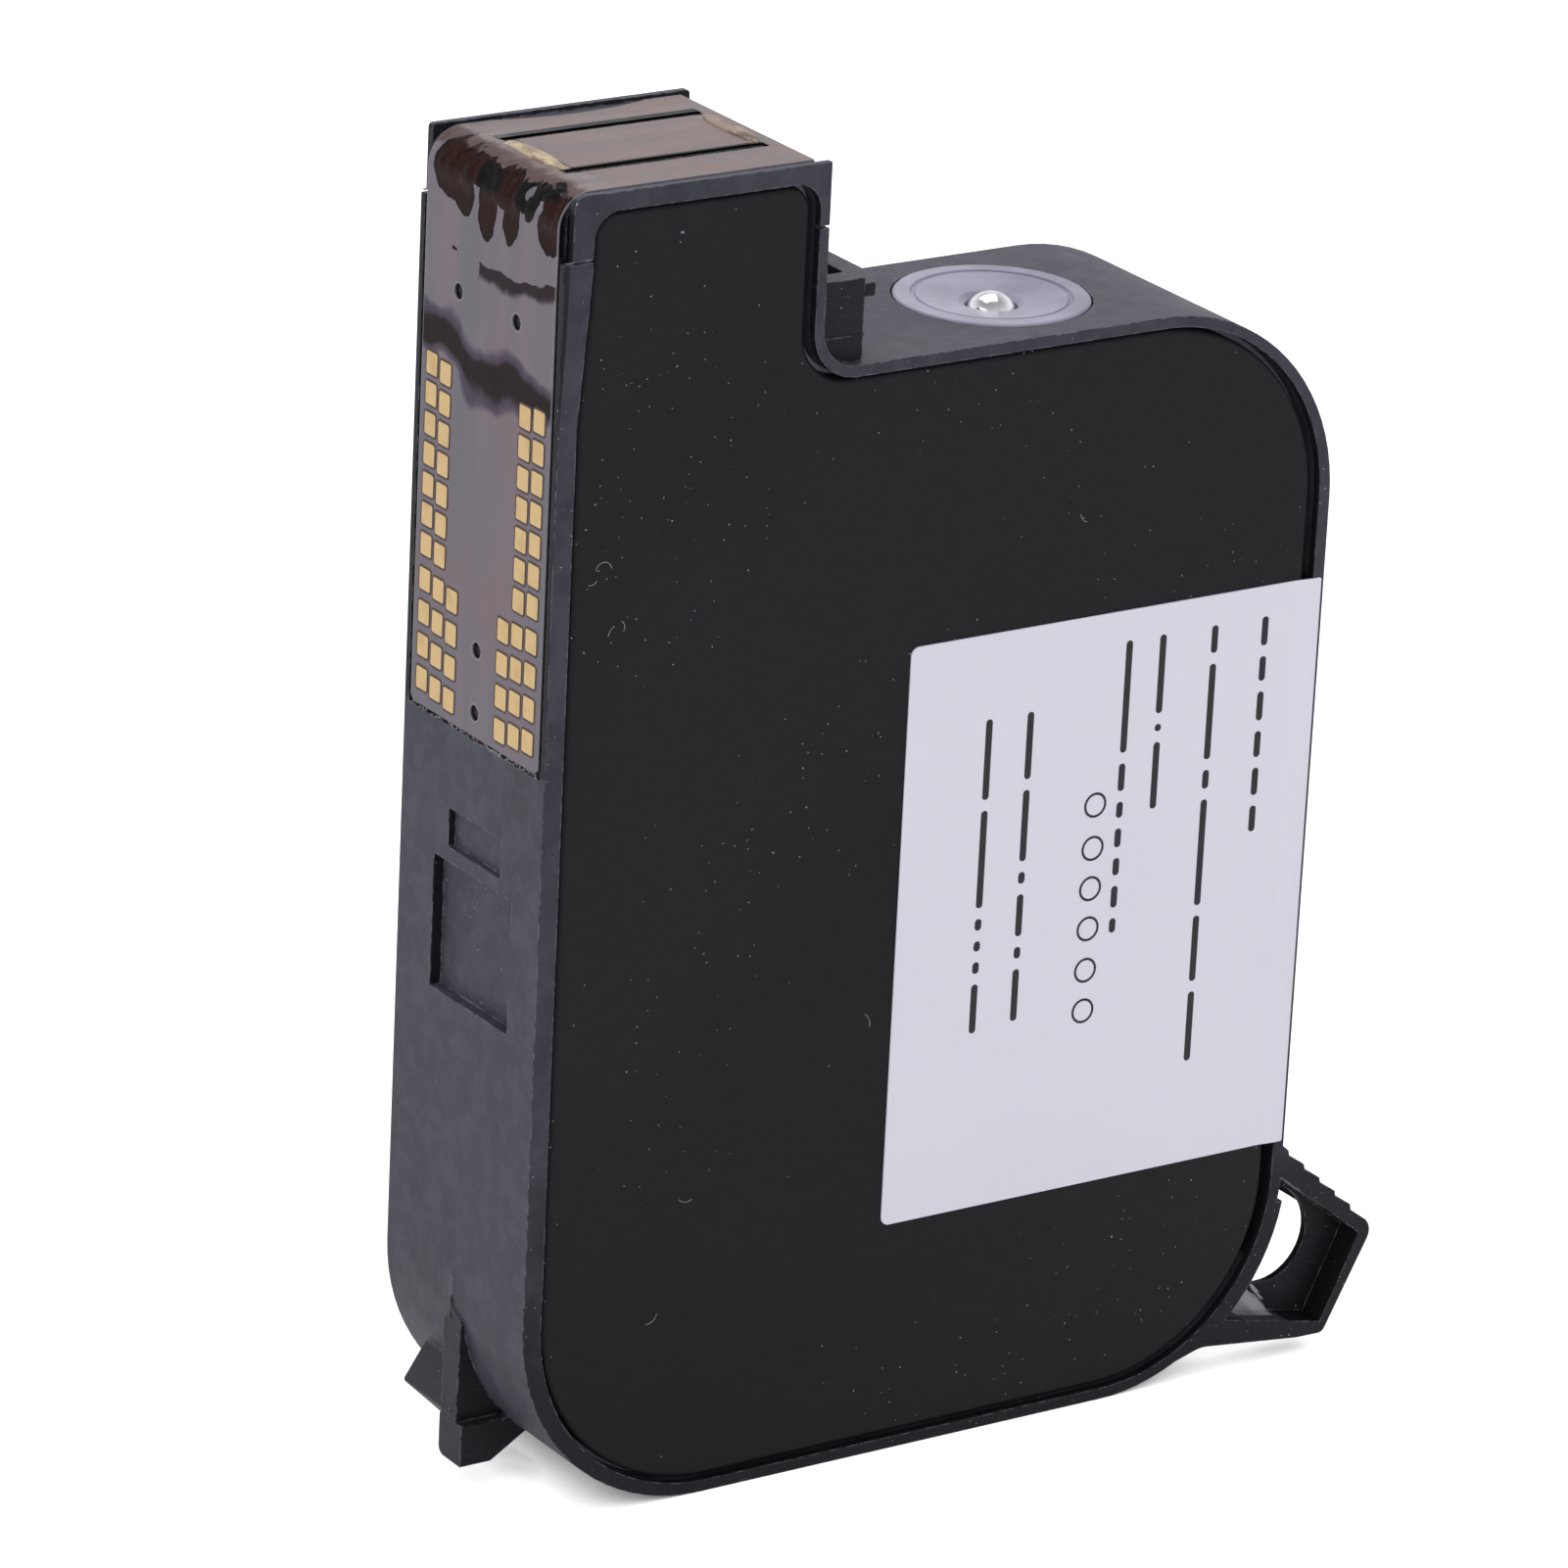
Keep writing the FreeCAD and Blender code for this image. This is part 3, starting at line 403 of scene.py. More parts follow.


# moulded frame: clouded matte front and edges, painted shade on the sides, lugs, gap and unlit walls,
# painted light in the latch, wear and dust
# depths and heights are in millimetres, patches are (scale, detail, roughness, from, to)

framePlastic = {
    # the smooth tone is painted shade on the sides, the gap beside the film and the unlit walls, and the
    # darker lug tone is painted shade on the post, foot and wing
    "matte": (0.033, 0.032, 0.044), "cloud": (0.073, 0.072, 0.090), "smooth": (0.006, 0.006, 0.008),
    "lugShadow": (0.020, 0.020, 0.025), "worn": (0.32, 0.32, 0.34), "dust": (0.48, 0.48, 0.50),
    "latchLight": (0.44, 0.44, 0.46), "tint": (0.9, 0.9, 1.0, 1.0), "specular": 0.32,
    "roughness": (0.48, 0.6), "edgeRadius": 0.16 * mm, "turned": (0.6, 0.8),
    "clouds": (110, 6, 0.62, 0.36, 0.66), "mottle": (620, 5, 0.65, 0.35, 0.7),
    "rimFace": (8.40, 8.44), "rimHeights": (13.0, 34.0, 0.0, 0.8), "rimUneven": 9.0,
    "cornerRadius": 14.0, "lugProud": (0.1, 0.2), "lugHigh": 18.5, "lugDeep": 6.0,
    "gapSides": (7.72, 7.82), "gapLow": 51.4, "gapBack": 0.9,
    "lipDark": (68.0, 84.0, -0.1, 0.42), "lipEdge": (-0.03, 0.03), "lipTop": (87.4, 86.9),
    "scratches": (700, 5, 0.6, 0.62, 0.72), "scratchStretch": (1, 1, 5), "scratchShare": 0.1,
    "rubbing": (1400, 3, 0.6, 0.42, 0.62), "rubbedEdge": (0.82, 0.99), "wearShare": 0.75,
    "gapShelter": 0.7,
    "webLightPatch": (58.5, 3.15, 2.2, 1.9), "webEdge": (0.12, 0.2), "webHalf": 7.5,
    "ledgeHighlight": (59.9, 13.1, 2.6, 2.2), "ledgeEdge": (0.0, 0.5), "ledgeFacing": -0.3,
    "lightPatchTurn": -48, "lightPatchStretch": (0.14, 0.1, 1.0), "lightPatchStreaks": (2300, 2, 0.6),
    "lightPatchRagged": 1.9, "lightPatchFaint": (0.3, 0.62, 0.55, 1.0),
    "grooveSides": 7.9, "grooveDepth": 15.0, "grooveStart": 6.0, "grooveHigh": 20.0, "grooveUp": 0.3,
    "latchStart": 57.0, "latchHigh": 15.5, "latchFoot": 2.6, "latchUp": 0.5, "facingFront": -0.2,
    "dustSorts": [(1700, 0.085, 0.36), (620, 0.05, 0.3)],
    "fineGrain": (5200, 3, 0.6), "coarseGrain": (1500, 3, 0.6), "coarseShare": 0.8,
    "bump": (0.4, 0.1 * mm)}


def frameSpots(tree, place):
    # where a point of the frame lies and which way it faces
    side = sideSpot(tree, place)
    depth, height = partsOf(tree, side)[:2]
    across = partsOf(tree, spotIn(tree, place, 1, 2))[0]
    facing = partsOf(tree, addNode(tree, "ShaderNodeNewGeometry").outputs["True Normal"])
    return {"place": place, "side": side, "depth": depth, "height": height, "facing": facing,
            "across": mathOf(tree, "ABSOLUTE", across),
            "sideways": rampOf(tree, mathOf(tree, "ABSOLUTE", facing[1]), *framePlastic["turned"]),
            "forward": rampOf(tree, mathOf(tree, "ABSOLUTE", facing[0]), *framePlastic["turned"])}


def paintedSideShade(tree, spot, clouds):
    # painted shade: every side face is darkened, but on the rims less so from low to high
    uneven = mathOf(tree, "ADD", spot["height"], productOf(tree, clouds, framePlastic["rimUneven"]))
    rims = productOf(tree, rampOf(tree, spot["across"], *framePlastic["rimFace"]),
                     rampOf(tree, uneven, *framePlastic["rimHeights"]))
    return productOf(tree, spot["sideways"], inverted(tree, rims))


def lugShade(tree, spot):
    # painted shade on the post, foot and wing, which stand outside the rounded lower corner
    radius = framePlastic["cornerRadius"]
    start, end = framePlastic["lugProud"]
    corner = vectorOf(tree, "SUBTRACT", spot["side"], (radius, radius, 0.0))
    corner = vectorOf(tree, "MINIMUM", corner, (0.0, 0.0, 0.0))
    outside = rampOf(tree, vectorOf(tree, "LENGTH", corner), radius + start, radius + end)
    near = allOf(tree, (spot["height"], "below", framePlastic["lugHigh"]),
                 (spot["depth"], "below", framePlastic["lugDeep"]))
    return productOf(tree, outside, near, inverted(tree, spot["sideways"]))


def gapShade(tree, spot):
    # painted shade in the gap beside the film, and on a strip on the sides' front edge that widens towards
    # the top
    gap = productOf(tree, spot["forward"], rampOf(tree, spot["across"], *framePlastic["gapSides"]),
                    allOf(tree, (spot["height"], "above", framePlastic["gapLow"]),
                          (spot["depth"], "below", framePlastic["gapBack"])))
    lip = mathOf(tree, "SUBTRACT", rampOf(tree, spot["height"], *framePlastic["lipDark"]), spot["depth"])
    lip = productOf(tree, rampOf(tree, lip, *framePlastic["lipEdge"]),
                    rampOf(tree, spot["height"], *framePlastic["lipTop"]), spot["sideways"])
    return highestOf(tree, gap, lip)


def wearOf(tree, spot, rounded, gap):
    # faint level scratches and rubbed edges, with less of both in the gap
    scratches = patchesOf(tree, stretched(tree, spot["place"], framePlastic["scratchStretch"]),
                          framePlastic["scratches"])
    rubbed = productOf(tree, edgeOf(tree, rounded, *framePlastic["rubbedEdge"]),
                       patchesOf(tree, spot["place"], framePlastic["rubbing"]))
    wear = highestOf(tree, productOf(tree, scratches, framePlastic["scratchShare"]), rubbed)
    exposed = inverted(tree, productOf(tree, gap, framePlastic["gapShelter"]))
    return productOf(tree, wear, exposed, framePlastic["wearShare"])


def latchLightPatchesOf(tree, spot):
    # painted light inside the latch: a pale streaky patch of light on the web between its gussets, and a
    # painted highlight under its ledge
    turned = turnedFlat(tree, spot["place"], framePlastic["lightPatchTurn"], framePlastic["lightPatchStretch"])
    streaky = noiseOf(tree, turned, *framePlastic["lightPatchStreaks"])
    ragged = swingOf(tree, streaky, framePlastic["lightPatchRagged"])
    web = mathOf(tree, "ADD", ovalOf(tree, spot["side"], framePlastic["webLightPatch"]), ragged)
    web = productOf(tree, rampOf(tree, web, *framePlastic["webEdge"]),
                    allOf(tree, (spot["across"], "below", framePlastic["webHalf"])))
    ledge = rampOf(tree, ovalOf(tree, spot["side"], framePlastic["ledgeHighlight"]), *framePlastic["ledgeEdge"])
    ledge = productOf(tree, ledge, allOf(tree, (spot["facing"][2], "below", framePlastic["ledgeFacing"])))
    return productOf(tree, highestOf(tree, web, ledge), rampOf(tree, streaky, *framePlastic["lightPatchFaint"]))


def innerShade(tree, spot):
    # walls that get no light: the groove round the cover and the inside of the latch
    upward, depth, height = spot["facing"][2], spot["depth"], spot["height"]
    facesFront = (spot["facing"][0], "below", framePlastic["facingFront"])
    inGroove = (spot["across"], "above", framePlastic["grooveSides"])
    inLatch = (depth, "above", framePlastic["latchStart"])
    grooveBack = allOf(tree, facesFront, (depth, "above", framePlastic["grooveDepth"]), inGroove)
    grooveLow = allOf(tree, (upward, "above", framePlastic["grooveUp"]),
                      (height, "below", framePlastic["grooveHigh"]), inGroove,
                      (depth, "above", framePlastic["grooveStart"]),
                      (depth, "below", framePlastic["latchStart"]))
    latchBack = allOf(tree, facesFront, inLatch, (height, "below", framePlastic["latchHigh"]))
    latchLow = allOf(tree, (upward, "above", framePlastic["latchUp"]), inLatch,
                     (height, "below", framePlastic["latchFoot"]))
    return highestOf(tree, grooveBack, grooveLow, latchBack, latchLow)


def frameFinish():
    material, shader, tree = newMaterial("blackMoulding", specular=framePlastic["specular"])
    shader.inputs["Specular Tint"].default_value = framePlastic["tint"]
    place = objectPlace(tree)
    spot = frameSpots(tree, place)
    rounded = roundedNormal(tree, framePlastic["edgeRadius"])
    clouds = patchesOf(tree, place, framePlastic["clouds"])
    mottle = patchesOf(tree, place, framePlastic["mottle"])
    colour = mixColour(tree, productOf(tree, mathOf(tree, "ADD", clouds, mottle), 0.5),
                       framePlastic["matte"], framePlastic["cloud"])
    gap = gapShade(tree, spot)
    # painted shade: the sides, the lugs, the gap beside the film and the unlit inner walls take darker
    # tones
    colour = mixColour(tree, paintedSideShade(tree, spot, clouds), colour, framePlastic["smooth"])
    colour = mixColour(tree, lugShade(tree, spot), colour, framePlastic["lugShadow"])
    colour = mixColour(tree, gap, colour, framePlastic["smooth"])
    colour = mixColour(tree, wearOf(tree, spot, rounded, gap), colour, framePlastic["worn"])
    colour = mixColour(tree, innerShade(tree, spot), colour, framePlastic["smooth"])
    # painted light: a pale patch on the latch web and a highlight under its ledge
    colour = mixColour(tree, latchLightPatchesOf(tree, spot), colour, framePlastic["latchLight"])
    colour = mixColour(tree, dustOf(tree, place, framePlastic["dustSorts"]), colour, framePlastic["dust"])
    tree.links.new(colour, shader.inputs["Base Color"])
    tree.links.new(rampOf(tree, clouds, 0, 1, *framePlastic["roughness"]), shader.inputs["Roughness"])
    coarse = noiseOf(tree, place, *framePlastic["coarseGrain"])
    coarse = productOf(tree, coarse, framePlastic["coarseShare"])
    grain = mathOf(tree, "ADD", noiseOf(tree, place, *framePlastic["fineGrain"]), coarse)
    bumpInto(tree, shader, grain, *framePlastic["bump"], rounded)
    return material


# pressed covers: satin black coat with a faint brushed grain and dust

coverPaint = {"colour": (0.0085, 0.0082, 0.0108), "paler": 1.3, "dust": (0.75, 0.75, 0.77),
              "specular": 0.2, "roughness": (0.5, 0.6), "edgeRadius": 0.12 * mm,
              "patches": (35, 3, 0.5, 0.3, 0.7), "grain": (2600, 3, 0.6), "grainRange": (0.3, 0.7),
              "grainStretch": (0.25, 1, 1), "dustSorts": [(1500, 0.068, 0.4), (560, 0.045, 0.35)],
              "bump": (0.15, 0.04 * mm)}


def coverFinish():
    material, shader, tree = newMaterial("blackCoverPaint", specular=coverPaint["specular"])
    place = objectPlace(tree)
    grain = noiseOf(tree, stretched(tree, place, coverPaint["grainStretch"]), *coverPaint["grain"])
    colour = mixColour(tree, patchesOf(tree, place, coverPaint["patches"]), coverPaint["colour"],
                       [part * coverPaint["paler"] for part in coverPaint["colour"]])
    colour = mixColour(tree, dustOf(tree, place, coverPaint["dustSorts"]), colour, coverPaint["dust"])
    tree.links.new(colour, shader.inputs["Base Color"])
    tree.links.new(rampOf(tree, grain, *coverPaint["grainRange"], *coverPaint["roughness"]),
                   shader.inputs["Roughness"])
    bumpInto(tree, shader, grain, *coverPaint["bump"], roundedNormal(tree, coverPaint["edgeRadius"]))
    return material


# liner with the fill port: milky, slightly see-through, deeper in tone towards the rear

linerPlastic = {"colour": (0.36, 0.355, 0.435), "deep": (0.215, 0.212, 0.275), "specular": 0.4,
                "roughness": 0.36, "edgeRadius": 0.12 * mm, "clouds": (200, 5, 0.6, 0.38, 0.68),
                "cloudShare": 0.55, "shade": (3.0, 14.0, 0.0, 0.7), "bump": (0.15, 0.08 * mm),
                "lumps": (900, 3), "glow": (0.001, 0.001, 0.0012), "glowShare": 0.25}


def linerFinish():
    material, shader, tree = newMaterial("milkyLiner", linerPlastic["roughness"],
                                         specular=linerPlastic["specular"])
    place = objectPlace(tree)
    clouds = productOf(tree, patchesOf(tree, place, linerPlastic["clouds"]), linerPlastic["cloudShare"])
    along = partsOf(tree, spotIn(tree, place, 0, 2))[0]
    deeper = mathOf(tree, "ADD", clouds, rampOf(tree, along, *linerPlastic["shade"]))
    tree.links.new(mixColour(tree, deeper, linerPlastic["colour"], linerPlastic["deep"]),
                   shader.inputs["Base Color"])
    bumpInto(tree, shader, noiseOf(tree, place, *linerPlastic["lumps"]), *linerPlastic["bump"],
             roundedNormal(tree, linerPlastic["edgeRadius"]))
    shader.inputs["Subsurface Weight"].default_value = linerPlastic["glowShare"]
    shader.inputs["Subsurface Radius"].default_value = linerPlastic["glow"]
    shader.inputs["Subsurface Scale"].default_value = 1.0
    return material


# steel parts

steel = {"ball": (0.86, 0.85, 0.85), "ballShade": 0.8, "ballRoughness": 0.14,
         "ballPatches": (900, 3, 0.5, 0.4, 0.7), "sheet": (0.55, 0.55, 0.57), "sheetShade": 0.75,
         "sheetRoughness": 0.35, "rolled": (1500, 3), "rolledStretch": (0.1, 1, 1),
         "bump": (0.1, 0.03 * mm)}


def ballFinish():
    material, shader, tree = newMaterial("polishedBall", steel["ballRoughness"], metallic=1.0)
    tree.links.new(mixColour(tree, patchesOf(tree, objectPlace(tree), steel["ballPatches"]), steel["ball"],
                             [part * steel["ballShade"] for part in steel["ball"]]),
                   shader.inputs["Base Color"])
    return material


def sheetFinish():
    material, shader, tree = newMaterial("plainSteelSheet", steel["sheetRoughness"], metallic=1.0)
    rolled = noiseOf(tree, stretched(tree, objectPlace(tree), steel["rolledStretch"]), *steel["rolled"])
    tree.links.new(mixColour(tree, rolled, steel["sheet"],
                             [part * steel["sheetShade"] for part in steel["sheet"]]),
                   shader.inputs["Base Color"])
    bumpInto(tree, shader, rolled, *steel["bump"])
    return material


# label paper: coated, with faint fibres and a few dark specks

paper = {"colour": (0.82, 0.80, 0.87), "shade": (0.77, 0.755, 0.825), "speck": (0.30, 0.29, 0.34),
         "specular": 0.3, "fibres": (3000, 4, 0.65), "patches": (60, 3, 0.5, 0.3, 0.75),
         "speckSorts": [(240, 0.05, 0.04)], "bump": (0.12, 0.03 * mm), "edgeRadius": 0.03 * mm}


def labelFinish():
    material, shader, tree = newMaterial("paleLabelPaper", specular=paper["specular"])
    place = objectPlace(tree)
    fibres = noiseOf(tree, place, *paper["fibres"])
    patches = patchesOf(tree, place, paper["patches"])
    colour = mixColour(tree, productOf(tree, patches, fibres), paper["colour"], paper["shade"])
    colour = mixColour(tree, dustOf(tree, place, paper["speckSorts"]), colour, paper["speck"])
    tree.links.new(colour, shader.inputs["Base Color"])
    bumpInto(tree, shader, fibres, *paper["bump"], roundedNormal(tree, paper["edgeRadius"]))
    return material


# contact film, streaked mauve with dried ink across its front and stains at its bend
# ovals are (across, height, half width, half height) in millimetres on the front

film = {
    "colour": (0.196, 0.161, 0.183), "cool": (0.164, 0.155, 0.175), "warm": (0.208, 0.152, 0.160),
    "top": (0.222, 0.163, 0.150), "topCool": (0.180, 0.152, 0.153), "specular": 0.055,
    "roughness": 0.3, "inkRoughness": 0.16, "edgeRadius": 0.05 * mm,
    "shake": (620, 2, 0.5), "shakeReach": 1.0 * mm, "drift": (230, 1, 0.4), "driftReach": 3.2 * mm,
    "streaks": (420, 3, 0.5, 0.35, 0.65), "streakStretch": (0.12, 1, 0.06),
    "warmth": (140, 3, 0.5, 0.45, 0.7), "warmShare": 0.6, "topward": (87.5, 88.8),
    "wisps": (480, 4, 0.6, 0.35, 0.7), "wispStretch": (0.4, 1, 1)}


def filmSpots(tree, place):
    # plain places on the film, and places shaken a little or drifted far for ragged outlines
    drifted = shakenPlace(tree, place, film["drift"], film["driftReach"])
    shaken = shakenPlace(tree, place, film["shake"], film["shakeReach"])
    plain = spotIn(tree, place, 1, 2)
    across, height = partsOf(tree, plain)[:2]
    return {"place": place, "plain": plain, "across": across, "height": height,
            "depth": partsOf(tree, sideSpot(tree, place))[0], "driftedPlace": drifted,
            "drifted": spotIn(tree, drifted, 1, 2), "shaken": spotIn(tree, shaken, 1, 2)}


def filmGround(tree, spot):
    streaks = patchesOf(tree, stretched(tree, spot["place"], film["streakStretch"]), film["streaks"])
    colour = mixColour(tree, streaks, film["cool"], film["colour"])
    warmth = patchesOf(tree, spot["place"], film["warmth"], 0.0, film["warmShare"])
    colour = mixColour(tree, warmth, colour, film["warm"])
    wisps = patchesOf(tree, stretched(tree, spot["driftedPlace"], film["wispStretch"]), film["wisps"])
    topColour = mixColour(tree, wisps, film["top"], film["topCool"])
    return mixColour(tree, rampOf(tree, spot["height"], *film["topward"]), colour, topColour)


# dried ink across the front, above the pads; its middle line dips and rises along its length

inkCloud = {
    "colour": (0.018, 0.009, 0.012), "rim": (0.060, 0.048, 0.085), "middle": 76.4, "dip": -1.1,
    "dipSpan": (5.0, 1.2), "rise": 0.65, "riseSpan": (-1.0, -6.0), "farHalf": 1.15, "midHalf": 1.6,
    "nearHalf": 1.0, "farSpan": (6.5, 1.5), "nearSpan": (-1.5, -6.0), "ragged": (420, 2),
    "raggedReach": 1.5, "edge": (1.5, 0.5), "rimSpan": (1.0, 0.3), "rimGain": 1.6}


def cloudInto(tree, colour, spot):
    # a wavering dark bar, highest at both ends and thickest in the middle, with a violet rim
    across, height = partsOf(tree, spot["drifted"])[:2]
    middle = mathOf(tree, "ADD", rampOf(tree, across, *inkCloud["dipSpan"], inkCloud["middle"],
                                        inkCloud["middle"] + inkCloud["dip"]),
                    rampOf(tree, across, *inkCloud["riseSpan"], 0.0, inkCloud["rise"]))
    half = mathOf(tree, "ADD", rampOf(tree, across, *inkCloud["farSpan"], inkCloud["farHalf"],
                                      inkCloud["midHalf"]),
                  rampOf(tree, across, *inkCloud["nearSpan"], 0.0,
                         inkCloud["nearHalf"] - inkCloud["midHalf"]))
    away = mathOf(tree, "ABSOLUTE", mathOf(tree, "SUBTRACT", height, middle))
    ragged = swingOf(tree, noiseOf(tree, spot["place"], *inkCloud["ragged"]), inkCloud["raggedReach"])
    away = mathOf(tree, "DIVIDE", mathOf(tree, "ADD", away, ragged), half)
    cloud = rampOf(tree, away, *inkCloud["edge"])
    rim = productOf(tree, cloud, rampOf(tree, cloud, *inkCloud["rimSpan"]))
    colour = mixColour(tree, cloud, colour, inkCloud["colour"])
    return mixColour(tree, mathOf(tree, "MULTIPLY", rim, inkCloud["rimGain"], clamp=True), colour,
                     inkCloud["rim"])


# a thin line of dried ink above the cloud

inkBand = {"colour": (0.024, 0.014, 0.018), "top": 82.2, "tilt": 0.2, "tiltStart": 3.0,
           "topEdge": (0.0, 0.1), "lowEdge": (1.35, 0.75), "end": (1.5, 1.35)}


def bandOf(tree, spot):
    # a thin dark band above the cloud, from the middle to the near edge, which it meets higher up
    across, height = partsOf(tree, spot["shaken"])[:2]
    past = mathOf(tree, "MINIMUM", mathOf(tree, "ADD", across, inkBand["tiltStart"]), 0.0)
    tilted = mathOf(tree, "ADD", height, productOf(tree, past, inkBand["tilt"]))
    under = mathOf(tree, "SUBTRACT", inkBand["top"], tilted)
    return productOf(tree, rampOf(tree, under, *inkBand["topEdge"]),
                     rampOf(tree, under, *inkBand["lowEdge"]), rampOf(tree, across, *inkBand["end"]))


# ink stains at the bend, and painted shade along a crease above them

filmStains = {
    "brown": [(4.75, 87.2, 2.45, 2.0), (3.35, 86.1, 1.25, 1.4), (2.3, 87.7, 2.2, 1.05),
              (0.55, 85.8, 1.15, 2.2), (-1.2, 87.5, 1.6, 1.3), (-2.25, 86.1, 1.0, 2.05),
              (-6.75, 86.5, 1.55, 1.7), (-6.9, 87.8, 1.6, 1.0), (4.16, 82.16, 0.35, 0.1)],
    "grey": [(0.7, 87.6, 1.5, 1.0), (-3.3, 87.7, 1.0, 1.1), (-4.3, 87.5, 0.75, 1.15),
             (-5.4, 88.35, 1.5, 0.5)],
    "brownColour": (0.018, 0.004, 0.002), "greyColour": (0.003, 0.003, 0.003),
    "lineColour": (0.004, 0.003, 0.003), "edge": (0.0, 0.05), "line": (0.22, 0.05),
    "greyPatches": (700, 3), "greyReach": 1.2, "greyEdge": (-0.15, 0.3),
    "lumps": (800, 3), "lumpReach": 1.6, "highest": (88.75, 88.6), "deepest": (2.4, 2.0),
    "creaseShadeColour": (0.075, 0.045, 0.044), "creaseDepth": (2.3, 1.7, 0.0, 0.8),
    "creaseHeight": (88.1, 88.5),
    "glint": (-3.87, 87.9, 0.3, 0.5), "glintEdge": (0.0, 0.2), "glintColour": (0.13, 0.13, 0.14)}


def stainsInto(tree, colour, spot):
    # brown and grey ink stains with a dark outline, painted shade along a crease above them and one glint
    place, height, depth = spot["place"], spot["height"], spot["depth"]
    grey = unionOf(tree, spot["shaken"], filmStains["grey"])
    stain = highestOf(tree, unionOf(tree, spot["shaken"], filmStains["brown"]), grey)
    inside = rampOf(tree, stain, *filmStains["edge"])
    outline = productOf(tree, inside, rampOf(tree, stain, *filmStains["line"]))
    patchy = swingOf(tree, noiseOf(tree, place, *filmStains["greyPatches"]), filmStains["greyReach"])
    greyness = rampOf(tree, mathOf(tree, "ADD", grey, patchy), *filmStains["greyEdge"])
    stainColour = mixColour(tree, greyness, filmStains["brownColour"], filmStains["greyColour"])
    stainColour = mixColour(tree, outline, stainColour, filmStains["lineColour"])
    lumpy = swingOf(tree, noiseOf(tree, place, *filmStains["lumps"]), filmStains["lumpReach"])
    lumpyHeight = mathOf(tree, "ADD", height, lumpy)
    lumpyDepth = mathOf(tree, "ADD", depth, lumpy)
    # painted shade: a darker band along the crease at the bend
    creaseShade = productOf(tree, rampOf(tree, lumpyDepth, *filmStains["creaseDepth"]),
                        rampOf(tree, lumpyHeight, *filmStains["creaseHeight"]))
    colour = mixColour(tree, creaseShade, colour, filmStains["creaseShadeColour"])
    stained = productOf(tree, inside, rampOf(tree, lumpyHeight, *filmStains["highest"]),
                        rampOf(tree, depth, *filmStains["deepest"]))
    colour = mixColour(tree, stained, colour, stainColour)
    glint = rampOf(tree, ovalOf(tree, spot["shaken"], filmStains["glint"]), *filmStains["glintEdge"])
    return mixColour(tree, glint, colour, filmStains["glintColour"]), inside


# slots, cut edges and holes

filmEdges = {
    "stripMiddle": 0.35, "slotInner": 3.45, "slotOuter": 4.42, "slotSoft": 0.04, "slotStart": 2.6,
    "slotEnd": 17.4, "slotEndSoft": 0.1, "slotHigh": (88.7, 88.8),
    "cut": (7.62, 7.66), "cutColour": (0.33, 0.32, 0.35), "cutShare": 0.6,
    "holes": [(3.6, 79.6), (-3.3, 79.6), (0.0, 57.2), (0.0, 53.05)], "holeRadius": 0.52,
    "rim": (-0.3, -0.12), "rimColour": (0.30, 0.28, 0.31), "rimShare": 0.55}


def edgesInto(tree, colour, spot):
    # dark slots beside the nozzle strip, a paler cut edge and a pale rim round each hole
    aside = mathOf(tree, "ABSOLUTE", mathOf(tree, "SUBTRACT", spot["across"], filmEdges["stripMiddle"]))
    slots = productOf(tree, betweenOf(tree, aside, filmEdges["slotInner"], filmEdges["slotOuter"],
                                      filmEdges["slotSoft"]),
                      betweenOf(tree, spot["depth"], filmEdges["slotStart"], filmEdges["slotEnd"],
                                filmEdges["slotEndSoft"]),
                      rampOf(tree, spot["height"], *filmEdges["slotHigh"]))
    colour = mixColour(tree, slots, colour, filmStains["lineColour"])
    cut = rampOf(tree, mathOf(tree, "ABSOLUTE", spot["across"]), *filmEdges["cut"])
    colour = mixColour(tree, productOf(tree, cut, filmEdges["cutShare"]), colour, filmEdges["cutColour"])
    radius = filmEdges["holeRadius"]
    holes = unionOf(tree, spot["plain"], [hole + (radius, radius) for hole in filmEdges["holes"]])
    rim = productOf(tree, rampOf(tree, holes, *filmEdges["rim"]), filmEdges["rimShare"])
    return mixColour(tree, rim, colour, filmEdges["rimColour"])


# the film is wavy all over and lumpy at its bend

filmRelief = {"lumps": (420, 3, 0.5), "waves": (150, 2), "waveShare": 0.35,
              "bendHeight": (85.8, 87.6, 0.1, 1.0), "bendDepth": (4.0, 2.2, 0.12, 1.0),
              "bump": (0.6, 0.6 * mm)}


def filmFinish():
    material, shader, tree = newMaterial("mauveFilm", specular=film["specular"])
    place = objectPlace(tree)
    spot = filmSpots(tree, place)
    colour = cloudInto(tree, filmGround(tree, spot), spot)
    band = bandOf(tree, spot)
    colour = mixColour(tree, band, colour, inkBand["colour"])
    colour, inside = stainsInto(tree, colour, spot)
    tree.links.new(edgesInto(tree, colour, spot), shader.inputs["Base Color"])
    tree.links.new(rampOf(tree, highestOf(tree, inside, band), 0, 1, film["roughness"],
                          film["inkRoughness"]), shader.inputs["Roughness"])
    bend = productOf(tree, rampOf(tree, spot["height"], *filmRelief["bendHeight"]),
                     rampOf(tree, spot["depth"], *filmRelief["bendDepth"]))
    lumps = productOf(tree, noiseOf(tree, place, *filmRelief["lumps"]), bend)
    waves = productOf(tree, noiseOf(tree, place, *filmRelief["waves"]), filmRelief["waveShare"])
    bumpInto(tree, shader, mathOf(tree, "ADD", lumps, waves), *filmRelief["bump"],
             roundedNormal(tree, film["edgeRadius"]))
    return material


# gold pads

gold = {"colour": (0.76, 0.54, 0.27), "shade": (0.66, 0.46, 0.22), "roughness": 0.42,
        "patches": (700, 4, 0.5, 0.45, 0.75), "grain": (2400, 3), "bump": (0.2, 0.04 * mm)}


